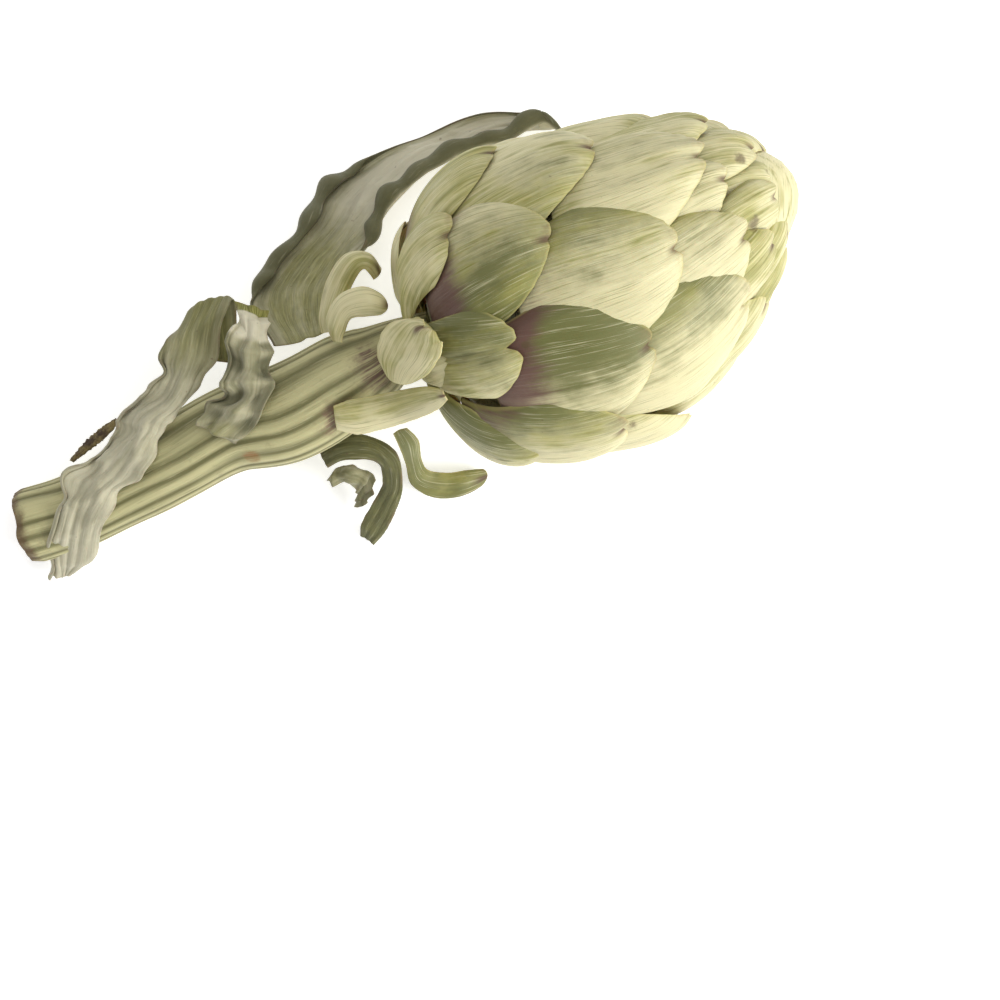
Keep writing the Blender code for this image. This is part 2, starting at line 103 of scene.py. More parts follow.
# Brown blemishes on the bracts: where (metres) and how far each reaches.
BLEMISHES = (
    ((0.0875, 0.0244, 0.0700), 0.0022), ((0.0859, 0.0092, 0.0742), 0.0022),
    ((0.0901, 0.0358, 0.0682), 0.0016), ((0.0849, 0.0409, 0.0693), 0.0026),
    ((0.0589, -0.0240, 0.0611), 0.0020), ((0.0323, -0.0051, 0.0784), 0.0014),
)

# The closed heart, as (distance along the axis, radius).
HEART = (
    (107.4, 0.0), (107.1, 2.6), (105.5, 6.5), (102.5, 10.1), (98.9, 13.2), (95.0, 16.0), (90.8, 18.4),
    (82.0, 22.0), (73.8, 25.1), (66.0, 28.6), (58.6, 31.6), (51.0, 33.3), (42.8, 33.8), (34.6, 32.7),
    (27.3, 30.4), (20.8, 26.6), (16.0, 21.2), (13.3, 17.4), (11.8, 12.0), (11.0, 7.0), (11.0, 0.0),
)
HEART_RINGS = 81
HEART_COLUMNS = 72

# The stem, as (x, y, z, radius), from the cut end to the head.
STEM = (
    (-101.1, -48.1, 9.8, 9.8), (-98.5, -47.3, 10.1, 10.0), (-85.8, -43.4, 11.5, 10.0),
    (-72.5, -36.5, 14.0, 10.2), (-58.9, -29.8, 18.0, 10.6), (-45.4, -22.6, 22.0, 11.3),
    (-30.5, -18.6, 26.0, 12.5), (-15.5, -10.5, 31.0, 12.0), (-8.1, -6.2, 33.0, 10.0),
    (-1.6, -2.4, 34.8, 7.6), (7.6, 0.5, 36.4, 6.6),
)
STEM_RIBS = 15
STEM_COLUMNS = 16 * STEM_RIBS
STEM_LENGTHS = 260
CUT_DEPTH = 1.6

# The loose leaves and bracts, as rows of left edge, middle and right edge.
DRAPED_LEAF = (
    ((-52.4, -4.7, 22), (-48, -5.3, 22.5), (-43.3, -5.8, 23)),
    ((-55.7, 5, 23), (-49.9, 6, 23.5), (-43.8, 7.6, 23)),
    ((-57.1, 7.9, 26), (-50.6, 10.2, 26.5), (-44, 11.5, 26)),
    ((-60, 1.3, 29), (-53.1, 2.9, 31), (-45.7, 5.6, 29)),
    ((-62.3, -4.1, 29), (-55, -4.8, 32), (-48.5, -5.7, 29)),
    ((-63.7, -9.2, 28), (-57.1, -10.4, 31.5), (-52.6, -12.1, 29)),
    ((-66.4, -12.9, 26), (-60.2, -16, 31), (-56.2, -16.9, 29)),
    ((-74.1, -17.8, 24), (-66, -20.5, 30), (-59.8, -20.5, 29)),
    ((-74.7, -22.4, 23.5), (-68.1, -24.1, 29.5), (-61.3, -24.1, 29.2)),
    ((-80.3, -27.5, 22.5), (-71.6, -28.7, 28.5), (-63.3, -28.7, 29)),
    ((-84.3, -33.2, 22), (-75.6, -33.3, 27.5), (-66.5, -34.6, 28.5)),
    ((-89.7, -38.4, 22.5), (-79.9, -37.9, 26.5), (-71.5, -38.4, 27.5)),
    ((-92, -44.4, 22.5), (-83.7, -43.1, 25.2), (-75.4, -43.6, 26)),
    ((-94.1, -50.9, 18), (-86, -49.6, 21), (-78.5, -49.3, 21)),
    ((-95.8, -56.4, 8), (-88.9, -56.8, 11), (-81.8, -56.3, 11)),
    ((-94.2, -60.3, 2.2), (-92.1, -61.8, 3.5), (-89.6, -58.6, 4)),
)
CRUMPLED_LEAF = (
    ((-42.8, 9.3, 34), (-38.5, 8.1, 36), (-34.4, 7, 34)),
    ((-41.8, 3.3, 36), (-38.1, 2.9, 38), (-34.7, 2.5, 36)),
    ((-43.7, -1.8, 37), (-38.4, -3.2, 39.5), (-33.1, -3.6, 37)),
    ((-45.3, -8.6, 37), (-38.9, -9.3, 40), (-32.5, -10.7, 39)),
    ((-45.4, -13.7, 36), (-39.9, -15.3, 39.5), (-33.4, -16.3, 40)),
    ((-50.9, -17.6, 34), (-44.7, -20.8, 37.5), (-38.7, -23.8, 37.5)),
    ((-52.5, -21.9, 33), (-48.1, -24.2, 34.8), (-43, -27, 35.4)),
)
BIG_LEAF = (
    ((-33.9, -1.5, 24), (-25.4, 0.2, 26), (-18.9, 3.6, 27.4)),
    ((-38.9, 6.3, 20), (-28, 6, 20), (-16.8, 7, 24)),
    ((-40.9, 12.4, 16), (-28.4, 14, 15), (-15.5, 12.8, 20)),
    ((-36, 21.7, 12), (-24, 21.8, 11), (-13.1, 21.2, 17)),
    ((-28.2, 31.1, 8), (-17.4, 30.2, 8.5), (-8.6, 27.6, 14)),
    ((-23.4, 41.6, 5), (-12.4, 37.9, 6.5), (-4.3, 36, 12)),
    ((-16, 46.6, 3.5), (-6.2, 44.1, 5), (1.5, 42.6, 10)),
    ((-4.9, 52.7, 1.6), (2.6, 51.2, 3), (9.7, 49.8, 8)),
    ((7.9, 58.1, 0.9), (13.8, 55.3, 1.6), (21.9, 53.1, 6)),
    ((18.7, 62.2, 2), (24, 59.5, 1.2), (32, 57.7, 4)),
    ((33.3, 62.2, 4), (36, 60.2, 3.5), (40, 57.7, 3.5)),
)
CURLED_BRACT_TALL = (
    ((-22.6, 0.9, 36), (-19.9, 1.2, 38.5), (-16.7, 1.4, 41)),
    ((-22, 5.8, 37), (-18.8, 5.5, 40), (-15.7, 5.1, 41.3)),
    ((-19.8, 14.3, 40), (-16, 13, 43), (-13, 12.2, 43.5)),
    ((-15, 20.6, 43), (-12.3, 18, 46.5), (-10.3, 16, 47)),
    ((-9.1, 21.2, 42), (-8.4, 18.4, 46), (-8.8, 15.6, 46.5)),
    ((-5.7, 17.4, 39), (-6.4, 15.6, 41.5), (-7.5, 14, 43)),
)
CURLED_BRACT_LOW = (
    ((-19.5, -0.6, 42), (-17.5, -1.8, 44), (-14.7, -2.3, 45)),
    ((-19.6, 4.1, 46), (-16.8, 2.2, 48), (-14.3, 0.8, 46.5)),
    ((-16.2, 9.6, 50), (-14, 6.6, 52), (-12.7, 3.6, 50)),
    ((-10.1, 11.8, 52.5), (-8.9, 7.9, 55), (-8.6, 3.9, 52.5)),
    ((-5.4, 10.1, 52), (-5.2, 7.1, 54.5), (-5.3, 4.3, 53)),
    ((-4.2, 7.8, 51.5), (-3.9, 6.5, 53), (-4.1, 5.3, 52.5)),
)
NECK_BRACT = (
    ((-18, -16, 43.3), (-17.6, -20.9, 41.5), (-16.9, -25.4, 37)),
    ((-11.4, -15.6, 45), (-10.5, -20, 43.3), (-9.8, -24.4, 38)),
    ((-2.8, -14.2, 50), (-1.6, -18.1, 48.6), (-0.6, -22.2, 44.2)),
    ((5.6, -13.5, 62), (6.7, -16.3, 61.6), (8.1, -19.6, 59.6)),
    ((10.2, -14.6, 67.6), (10.9, -15.8, 67.4), (11.4, -17, 66.8)),
)
COLLAR_BRACT = (
    ((-4.5, -9.5, 56), (-1.4, -12.2, 58.5), (2.6, -13, 61.5)),
    ((-6.4, -6.2, 57), (-0.4, -8.3, 62), (6.4, -11.2, 67.5)),
    ((-6, -2.2, 59.5), (1.7, -5.6, 67), (9.4, -7.5, 74)),
    ((-3.8, 1.4, 62.5), (3.5, -2.8, 70), (10.2, -4.5, 76.2)),
    ((0.3, 2.6, 67), (5, -0.5, 73), (9.8, -3.7, 76.4)),
    ((5.5, 1.9, 73.5), (7.2, 0, 75), (8.7, -1.3, 75.8)),
)
UNDER_LEAF = (
    ((-23.8, -27.3, 13.5), (-22.7, -30, 14), (-21.1, -32.6, 14)),
    ((-16.4, -23.8, 18), (-16.4, -27.4, 18), (-16.5, -30.6, 17)),
    ((-9.8, -24.3, 19), (-9.3, -27.5, 19), (-9.9, -30.6, 18)),
    ((-3.1, -28.5, 18), (-4.5, -31.3, 17.5), (-7.4, -32.6, 16)),
    ((-1.5, -37.1, 14), (-3.6, -37.3, 13.5), (-7, -36.8, 13)),
    ((-3.5, -43.9, 9), (-6.2, -42.9, 9), (-9.6, -41.5, 9)),
    ((-6.9, -50.1, 4), (-9.6, -48.5, 4.5), (-12.8, -46.9, 5)),
    ((-9.8, -53.1, 0.9), (-11.6, -51.7, 1), (-13.5, -50.6, 0.9)),
)
UNDER_CRUMPLE = (
    ((-22.1, -36.2, 8), (-20.9, -34.7, 10.5), (-19.3, -32.5, 10)),
    ((-17.8, -36.8, 9), (-16.6, -34.4, 12), (-15.1, -31.5, 10)),
    ((-14.2, -38.3, 7), (-12.4, -36.2, 10), (-9.8, -33.6, 8.6)),
    ((-14.9, -41, 4), (-12.4, -39.4, 6.6), (-9.8, -37.2, 6)),
    ((-15.6, -43.1, 0.9), (-13.6, -42.6, 2.4), (-11.2, -41.2, 2.4)),
)
SPOON_BRACT = (
    ((-3.4, -23.8, 27), (-1.8, -23.1, 28), (-0.1, -22.4, 27)),
    ((-1.9, -27.5, 22.5), (0.5, -26.6, 24), (2.8, -25.5, 22.5)),
    ((-0.6, -31.6, 15), (1.2, -31.1, 16), (3.3, -30, 15)),
    ((0.6, -36.8, 8), (2.9, -35.7, 9), (4.9, -33, 8)),
    ((6.4, -40.2, 4), (9.1, -37.3, 6), (10.2, -33.8, 5)),
    ((13.8, -39.7, 3), (14.9, -36.7, 5), (15.5, -33, 4)),
    ((20.3, -36.2, 0.9), (20.8, -34.6, 2), (20.5, -32.7, 1.6)),
)
DRY_BRACT = (
    ((-89.4, -30.6, 12), (-88.8, -30.8, 12.4), (-88, -31.2, 13)),
    ((-85.1, -26, 14.5), (-83.7, -26.8, 16), (-82.6, -27.6, 16)),
    ((-81.3, -22.7, 15.5), (-80.1, -23.8, 17), (-78.9, -24.9, 17)),
    ((-76.5, -19.5, 16), (-75.9, -20.1, 16.5), (-75.2, -20.8, 17)),
)

ROLL_COLUMNS = 14
LOOSE_SEED = 17

# How each loose piece is finished: its grid, thickness (mm), ribs along it (count, height), midrib (height,
# width as a share), ruffled margins (height, spacing), crumples (height, spacing), ragged margins (share,
# spacing), rolled margins (radius, full turns, from and to along it), rounding of the far end, notch there,
# cup, narrowing at the root, and three tints (for leaves green, dark with painted shade and pale with painted
# highlight; for bracts blush, dark olive with painted shade and cream with painted light).
LOOSE_PLAIN = {
    "slot": "bract", "grid": (61, 121), "thick": 1.0, "ribs": (0, 0.0), "midrib": (0.0, 0.1),
    "ruffle": (0.0, 6.0), "crumple": (0.0, 4.0), "ragged": (0.02, 3.0), "roll_left": None, "roll_right": None,
    "round": 0.0, "notch": 0.0, "cup": 0.0, "root": 0.0,
}
LOOSE_PIECES = {
    "draped_leaf": {
        "rows": DRAPED_LEAF, "slot": "leaf", "grid": (91, 221), "ribs": (5, 0.15), "ruffle": (1.5, 26.0),
        "crumple": (0.75, 20.0), "ragged": (0.17, 15.0), "roll_left": (0.8, 0.6, 0.2, 1.0),
        "tint": (0.1, 0.2, 0.75),
    },
    "crumpled_leaf": {
        "rows": CRUMPLED_LEAF, "slot": "leaf", "grid": (121, 181), "ribs": (2, 0.5), "ruffle": (1.2, 16.0),
        "crumple": (2.2, 16.0), "ragged": (0.14, 14.0), "roll_left": (0.9, 0.55, 0.1, 0.8),
        "tint": (0.2, 0.35, 0.55),
    },
    "big_leaf": {
        "rows": BIG_LEAF, "slot": "leaf", "grid": (121, 241), "thick": 1.2, "midrib": (0.7, 0.16),
        "ruffle": (1.0, 24.0), "crumple": (0.6, 22.0), "ragged": (0.05, 18.0),
        "roll_left": (2.3, 0.62, 0.12, 0.62), "roll_right": (1.7, 0.66, 0.3, 1.0), "tint": (0.75, 0.3, 0.5),
    },
    # The under leaf's strong dark tint is painted shade, for a leaf that lies in the head's shadow.
    "under_leaf": {
        "rows": UNDER_LEAF, "slot": "leaf", "ribs": (3, 0.1), "ruffle": (0.5, 14.0), "crumple": (0.25, 16.0),
        "tint": (1.2, 0.95, 0.0),
    },
    "under_crumple": {
        "rows": UNDER_CRUMPLE, "slot": "leaf", "ruffle": (0.6, 8.0), "crumple": (1.1, 10.0),
        "ragged": (0.14, 9.0), "tint": (0.1, 0.6, 0.4),
    },
    "curled_bract_tall": {
        "rows": CURLED_BRACT_TALL, "root": 0.3, "cup": 0.5, "tint": (0.1, 0.3, 0.4),
    },
    "curled_bract_low": {
        "rows": CURLED_BRACT_LOW, "root": 0.3, "cup": 0.7, "round": 0.1,
        "tint": (0.05, 0.1, 0.6),
    },
    "neck_bract": {"rows": NECK_BRACT, "cup": 0.3, "root": 0.3, "tint": (0.05, 0.35, 0.75)},
    "collar_bract": {
        "rows": COLLAR_BRACT, "notch": 0.1, "cup": 1.2, "tint": (0.0, 0.05, 0.5),
    },
    "spoon_bract": {
        "rows": SPOON_BRACT, "round": 0.06, "cup": -0.5, "tint": (0.15, 0.85, 0.0),
    },
    "dry_bract": {
        "rows": DRY_BRACT, "crumple": (0.4, 2.0), "ragged": (0.15, 2.0), "grid": (31, 61),
        "tint": (0.0, 0.5, 0.0),
    },
}


def head_axes():
    """The unit vectors up, sideways and along the head."""
    flat = math.cos(HEAD_LEAN)
    along = np.array((flat * math.cos(HEAD_TURN), flat * math.sin(HEAD_TURN), math.sin(HEAD_LEAN)))
    side = np.array((math.sin(HEAD_TURN), -math.cos(HEAD_TURN), 0.0))
    return np.cross(side, along), side, along


def middle_line(distance):
    """The points of the head's bent middle line at distances along its axis."""
    side, along = head_axes()[1:]
    shift = BEND_NEAR + (BEND_FAR - BEND_NEAR) * ease(distance, BEND_FROM, BEND_TO)
    return HEAD_BASE + distance[..., None] * along + shift[..., None] * side


def trace_outline():
    """The outline as length travelled, axis distance and radius: two blunt half-ovals meeting at the widest.

    Each half is HEAD_RADIUS * (1 - share ** p) ** (1 / q), the share running from 0 at the widest place to 1
    at its end. The outline starts where it is as wide as the neck.
    """
    along = HEAD_LENGTH * (1.0 - np.cos(np.linspace(0.0, math.pi, 4001))) / 2.0
    low = np.clip((WIDEST_AT - along) / WIDEST_AT, 0.0, 1.0)
    high = np.clip((along - WIDEST_AT) / (HEAD_LENGTH - WIDEST_AT), 0.0, 1.0)
    radius_low = (1.0 - low ** LOWER_POWERS[0]) ** (1.0 / LOWER_POWERS[1])
    radius_high = (1.0 - high ** UPPER_POWERS[0]) ** (1.0 / UPPER_POWERS[1])
    radius = HEAD_RADIUS * np.where(along < WIDEST_AT, radius_low, radius_high)
    begin = int(np.argmax(radius > NECK_RADIUS))
    along, radius = along[begin:], radius[begin:]
    travelled = np.concatenate(((0.0,), np.cumsum(np.hypot(np.diff(along), np.diff(radius)))))
    return travelled, along, radius


OUTLINE = trace_outline()
OUTLINE_LENGTH = float(OUTLINE[0][-1])


def outline_at(travelled):
    """Axis distance, radius and outward slope of the outline at a travelled length."""
    along = np.interp(travelled, OUTLINE[0], OUTLINE[1])
    radius = np.interp(travelled, OUTLINE[0], OUTLINE[2])
    ahead = np.minimum(travelled + 0.5, OUTLINE_LENGTH)
    behind = np.maximum(travelled - 0.5, 0.0)
    run = np.interp(ahead, OUTLINE[0], OUTLINE[1]) - np.interp(behind, OUTLINE[0], OUTLINE[1])
    rise = np.interp(ahead, OUTLINE[0], OUTLINE[2]) - np.interp(behind, OUTLINE[0], OUTLINE[2])
    size = np.hypot(run, rise)
    return along, radius, -rise / size, run / size


def bract_turn(number):
    """How far round the axis a bract lies, on the golden-angle spiral with its own turn."""
    turned = BRACT_FORMS.get(number, PLAIN_BRACT).get("turn", 0.0)
    return math.radians(SPIRAL_START + number * GOLDEN_ANGLE + turned)


def climb(travelled):
    """How much farther along the tips at the very top lie than on an even spiral."""
    return TOP_CLIMB * np.clip(travelled / 30.0, 0.0, 1.0) * (1.0 - ease(travelled, 95.0, 140.0))


def tip_length(number):
    """How far along the outline a tip lies: its even place plus the climb there, found by repeating."""
    even = float(np.interp(number, TIP_NUMBERS, TIP_LENGTHS + (OUTLINE_LENGTH - APEX_GAP,)))
    place = even
    for _ in range(30):
        place = even + float(climb(place)) * math.cos(bract_turn(number))
    return place


def bract_rank(travelled, turn):
    """The bract number whose tip would lie at a travelled length and a turn about the axis."""
    even = travelled - climb(travelled) * np.cos(turn)
    first, middle, last = TIP_LENGTHS
    low = (even - first) * TIP_NUMBERS[1] / (middle - first)
    high = TIP_NUMBERS[1] + (even - middle) * (TIP_NUMBERS[2] - TIP_NUMBERS[1]) / (last - middle)
    return np.where(even < middle, low, high)


def ripples(across, along, seed, crests=(0.5, 0.05), count=7):
    """Smooth unevenness of about -1 to 1: a sum of sine waves, with their own crests across and along."""
    dice = np.random.default_rng(seed)
    shape = (count,) + (1,) * max(np.ndim(across), np.ndim(along))
    fast = crests[0] * dice.uniform(0.4, 1.6, shape) * dice.choice((-1.0, 1.0), shape)
    slow = crests[1] * dice.uniform(0.4, 1.6, shape)
    start = dice.uniform(0.0, 2.0 * math.pi, shape)
    return np.sin(fast * across + slow * along + start).sum(axis=0) / math.sqrt(count)


def ease(value, low, high):
    """0 at low, 1 at high, with a soft start and end."""
    share = np.clip((value - low) / (high - low), 0.0, 1.0)
    return share * share * (3.0 - 2.0 * share)


def grid_faces(columns, rows):
    """Four-cornered faces of a grid whose vertices are numbered column by column."""
    corner = (np.arange(columns - 1)[:, None] * rows + np.arange(rows - 1)[None, :]).ravel()
    return np.stack((corner, corner + 1, corner + rows + 1, corner + rows), axis=1)


def close_ball(columns, rows):
    """Squares of a closed ring grid, and the triangles that join its end rows to two pole points."""
    count = columns * rows
    squares = grid_faces(columns + 1, rows) % count
    first = np.arange(columns) * rows
    after = np.roll(first, -1)
    near = np.stack((np.full(columns, count), first, after), axis=1)
    far = np.stack((np.full(columns, count + 1), after + rows - 1, first + rows - 1), axis=1)
    return squares, np.concatenate((near, far))


def close_sheet(outer, inner, notes):
    """The points, faces and notes of a thin closed body: two grids that share their border points."""
    columns, rows = outer.shape[:2]
    numbers = np.arange(columns * rows).reshape(columns, rows)
    inside = np.zeros((columns, rows), bool)
    inside[1:-1, 1:-1] = True
    under = numbers.copy()
    under[inside] = columns * rows + np.arange(int(inside.sum()))
    faces = grid_faces(columns, rows)
    back = under.ravel()[faces][:, ::-1]
    points = np.concatenate((outer.reshape(-1, 3), inner[inside]))
    doubled = {}
    for key, values in notes.items():
        flat = values.reshape(columns * rows, -1)
        doubled[key] = np.concatenate((flat, flat[inside.ravel()]))
    return points, np.concatenate((faces, back)), doubled


def make_piece(name, points, squares, notes, material, node, triangles=None):
    """A smooth mesh from points in millimetres, with its surface notes kept as vector attributes.

    Heights under 0.4 mm are eased to 0.4 * exp((z - 0.4) / 0.4), so that nothing sinks into the surface that
    it lies on.
    """
    resting = 0.4 * np.exp(np.minimum(points[:, 2] - 0.4, 0.0) / 0.4)
    points = np.column_stack((points[:, :2], np.where(points[:, 2] < 0.4, resting, points[:, 2])))
    corners = squares.ravel()
    starts = np.arange(0, squares.size, 4)
    if triangles is not None:
        starts = np.concatenate((starts, squares.size + np.arange(0, triangles.size, 3)))
        corners = np.concatenate((corners, triangles.ravel()))
    mesh = bpy.data.meshes.new(name)
    mesh.vertices.add(len(points))
    mesh.vertices.foreach_set("co", ((points + CENTRING) * MM).astype(np.float32).ravel())
    mesh.loops.add(len(corners))
    mesh.loops.foreach_set("vertex_index", corners.astype(np.int32))
    mesh.polygons.add(len(starts))
    mesh.polygons.foreach_set("loop_start", starts.astype(np.int32))
    mesh.update(calc_edges=True)
    mesh.validate()
    mesh.shade_smooth()
    for key, values in notes.items():
        layer = mesh.attributes.new(key, "FLOAT_VECTOR", "POINT")
        layer.data.foreach_set("vector", values.astype(np.float32).ravel())
    mesh.materials.append(material)
    piece = bpy.data.objects.new(name, mesh)
    bpy.context.scene.collection.objects.link(piece)
    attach(piece, "root")
    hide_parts(node)
    return piece


def bract_form(number):
    """The measures of one bract: the even spiral form with its own differences."""
    form = dict(PLAIN_BRACT)
    form.update(BRACT_FORMS.get(number, {}))
    form["tip"] = tip_length(number) + form["climb"]
    form["half"] = float(np.interp(number, *HALF_WIDTHS)) + form["wide"]
    longest = float(np.interp(number, TIP_NUMBERS[1:], (46.0, 36.0, 14.0)))
    form["length"] = min(form["tip"] - BRACT_ROOT, longest)
    form["turned"] = bract_turn(number)
    return form


def tip_margin(form, number, a):
    """How far below the tip each column of a bract starts.

    A blunt oval joined with a pointed curve, plus a notch on its own line and a ragged wave sum that dies out
    at the sides.
    """
    half = form["half"]
    oval = 1.0 - np.sqrt(1.0 - np.abs(a) ** 2.2)
    margin = min(TIP_ROUNDING, half) * (0.55 * oval + 0.45 * np.abs(a) ** 1.3)
    beside = (a - form["notch_at"]) * half
    notch = form["notch"] * (np.exp(-np.abs(beside / 1.5) ** 1.3) + 0.12 * np.tanh(beside / 2.0))
    ragged = 0.14 * ripples(a * half, a, number + 400, (1.6, 0.0))
    ragged = ragged + 0.4 * ripples(a, a, number + 700, (5.0, 0.0))
    return np.maximum(margin + notch + ragged * (1.0 - np.abs(a) ** 4), 0.0)


def bract_shell(number, columns=BRACT_COLUMNS, lengths=BRACT_ROWS):
    """One bract: parallel columns run from a rounded, notched tip margin down to the root.

    The surface lies one layer deeper for each bract below it, turns in at its tip and margins by exponentials
    of the distance from them, dips and rises below its notch, and thins to nothing at its border.
    Gives the outer points, the inner points and the surface notes.
    """
    form = bract_form(number)
    across = np.sin(np.linspace(-math.pi / 2.0, math.pi / 2.0, columns))
    down = np.linspace(0.0, 1.0, lengths) ** 1.5
    a, v = np.meshgrid(across, down, indexing="ij")
    half, length, sides = form["half"], form["length"], form["sides"]
    margin = tip_margin(form, number, a)
    beside = (a - form["notch_at"]) * half
    from_tip = margin + v * (length - margin)
    past = np.clip((from_tip - min(TIP_ROUNDING, half)) / 28.0, 0.0, 1.0)
    line = form["tip"] - from_tip
    wide = np.minimum(half * (1.0 - 0.3 * past), WIDEST_HALF_ANGLE * outline_at(line)[1])
    lateral = a * wide + form["lean"] * np.clip(1.0 - from_tip / length, 0.0, 1.0) ** 2
    slope = np.gradient(margin[:, 0], lateral[:, 0] + np.arange(columns) * 1e-6)[:, None]
    tip_edge = (from_tip - margin) / np.sqrt(1.0 + np.minimum(slope ** 2, 25.0))
    edge = np.minimum(np.minimum(wide * (1.0 - np.abs(a)), tip_edge), length * (1.0 - v))
    edge[0, :] = edge[-1, :] = 0.0
    edge[:, 0] = edge[:, -1] = 0.0
    to_apex = OUTLINE_LENGTH - line
    reach = np.hypot(to_apex, lateral)
    travelled = np.maximum(OUTLINE_LENGTH - reach, 0.2)
    axis_at, radius, back, out = outline_at(travelled)
    turn = form["turned"] + np.arctan2(lateral, to_apex) * reach / np.maximum(radius, 1.0)
    depth = BRACT_LAYER * (number - bract_rank(travelled, turn)) - form["raise"]
    depth = depth + MARGIN_TUCK * np.exp(-edge / 3.0) + TIP_TUCK * np.exp(-tip_edge / 6.0)
    dip = 0.5 * np.exp(-from_tip / 5.0) - 0.25 * np.exp(-((from_tip - 9.0) / 6.0) ** 2)
    depth = depth + dip * np.exp(-(beside / 1.6) ** 2)
    fold = ripples(lateral, from_tip, number, (0.45, 0.05))
    fine = ripples(lateral, from_tip, number + 90, (1.7, 0.12))
    depth = depth + (0.2 * fold + 0.05 * fine) * np.minimum(edge / 3.0, 1.0)
    rounded = np.sqrt(1.0 - (1.0 - np.minimum(edge / 0.35, 1.0)) ** 2)
    thick = (RIM_THICK + FLESH_THICK * np.minimum(edge / 9.0, 1.0)) * rounded
    up, side = head_axes()[:2]
    outward = np.cos(turn)[..., None] * up + np.sin(turn)[..., None] * side

    def sunk(deep):
        """The points that lie that deep under the outline."""
        return middle_line(axis_at - deep * back) + (radius - deep * out)[..., None] * outward

    flush = ease(from_tip, 0.35 * length, 0.9 * length) * (1.0 - 0.4 * sides * a) + 0.45 * ease(-a, 0.5, 1.0)
    blush = form["blush"] * np.clip(flush, 0.0, 1.0)
    fan = lateral * (0.75 + 0.45 * np.exp(-from_tip / 14.0))
    # Painted shade and light: the dark olive is pushed to one side of each bract and the cream to the other,
    # as a shaded and a lit side, over each bract's own tone.
    olive_and_shade, cream_and_light = form["olive_and_shade"] * (1.0 - sides * a), form["cream_and_light"] * (1.0 + sides * a)
    notes = {
        "ways": np.stack((fan, from_tip, np.full_like(a, number * 7.31)), axis=-1),
        "marks": np.stack((edge, from_tip, np.abs(beside)), axis=-1),
        "tint": np.stack((blush, olive_and_shade, cream_and_light), axis=-1),
    }
    return sunk(depth), sunk(depth + thick), notes


def build_bract(number, material):
    """One bract of the head as a thin closed body."""
    outer, inner, notes = bract_shell(number)
    points, faces, notes = close_sheet(outer, inner, notes)
    node = "bract_%02d" % number
    return make_piece(node + "_skin", points, faces, notes, material, node)


def build_heart(material):
    """The closed heart with its crown: a turned ball about the bent middle line, and the last small bracts.

    The ball's rings follow the heart's profile, and the crown's bracts carry the head's spiral to the apex.
    """
    distances, radii = np.array(HEART).T
    rings = np.linspace(0.0, len(HEART) - 1.0, HEART_RINGS)
    distance = np.interp(rings, np.arange(len(HEART)), distances)
    reach = np.interp(rings, np.arange(len(HEART)), radii)
    turns = np.linspace(0.0, 2.0 * math.pi, HEART_COLUMNS, endpoint=False)
    up, side = head_axes()[:2]
    outward = np.cos(turns)[:, None] * up + np.sin(turns)[:, None] * side
    ball = middle_line(distance[1:-1])[None] + reach[None, 1:-1, None] * outward[:, None]
    faces, fans = close_ball(*ball.shape[:2])
    points = [np.concatenate((ball.reshape(-1, 3), middle_line(distance[[0, -1]])))]
    count = len(points[0])
    plain = np.tile((5.0, 9.0, 9.0), (count, 1))
    notes = {"ways": [points[0] * 0.7], "marks": [plain], "tint": [np.tile((0.0, 0.2, 0.8), (count, 1))]}
    squares = [faces]
    for number in APEX_BRACTS:
        outer, inner, shell_notes = bract_shell(number, APEX_GRID, APEX_GRID)
        shell, shell_faces, shell_notes = close_sheet(outer, inner, shell_notes)
        squares.append(shell_faces + count)
        points.append(shell)
        count += len(shell)
        for key in notes:
            notes[key].append(shell_notes[key])
    notes = {key: np.concatenate(values) for key, values in notes.items()}
    return make_piece(
        "heart_skin", np.concatenate(points), np.concatenate(squares), notes, material, "heart", fans
    )


def smooth_path(marks, share):
    """Places on the smooth curve through a row of marks, at shares of it: a cubic between each two marks."""
    marks = np.array(marks)
    place = share * (len(marks) - 1)
    low = np.minimum(place.astype(int), len(marks) - 2)
    between = (place - low).reshape(place.shape + (1,) * (marks.ndim - 1))
    before, start, end, after = (marks[np.clip(low + shift, 0, len(marks) - 1)] for shift in (-1, 0, 1, 2))
    bend = 2.0 * before - 5.0 * start + 4.0 * end - after
    twist = 3.0 * start - before - 3.0 * end + after
    return start + 0.5 * between * (end - before + between * (bend + between * twist))


def guide_points(rows, a, v):
    """Points of a sheet: each row is a parabola through its three points, and smooth curves join the rows."""
    guides = smooth_path(rows, np.clip(v, 0.0, 1.0))
    a = a[..., None]
    left, middle, right = guides[..., 0, :], guides[..., 1, :], guides[..., 2, :]
    return left * (a * a - a) / 2.0 + middle * (1.0 - a * a) + right * (a * a + a) / 2.0


def unit(vectors):
    """The vectors brought to length one."""
    return vectors / np.maximum(np.linalg.norm(vectors, axis=-1, keepdims=True), 1e-9)


def sheet_normals(points):
    """The unit directions across and off a grid of points; off is the side that the outer faces look to."""
    toward = np.gradient(points, axis=0)
    down = np.gradient(points, axis=1)
    return unit(toward), unit(np.cross(down, toward))


def roll_share(form_roll, v):
    """How far a margin is rolled at each place down: none outside its stretch, full inside it."""
    if not form_roll:
        return np.zeros_like(v)
    begin, end = form_roll[2:]
    inside = ease(v, begin, begin + 0.12)
    return inside * (1.0 - ease(v, end - 0.05, end + 0.1)) if end < 1.0 else inside


def sheet_columns(form):
    """Places across a sheet, -1 to 1 and on past a margin that is rolled, and how many lie before -1."""
    flat = np.linspace(-1.0, 1.0, form["grid"][0])
    past = np.linspace(-2.0, -1.0, ROLL_COLUMNS, endpoint=False)
    left = past if form["roll_left"] else np.empty(0)
    right = 3.0 + past if form["roll_right"] else np.empty(0)
    return np.concatenate((left, flat, right)), len(left)


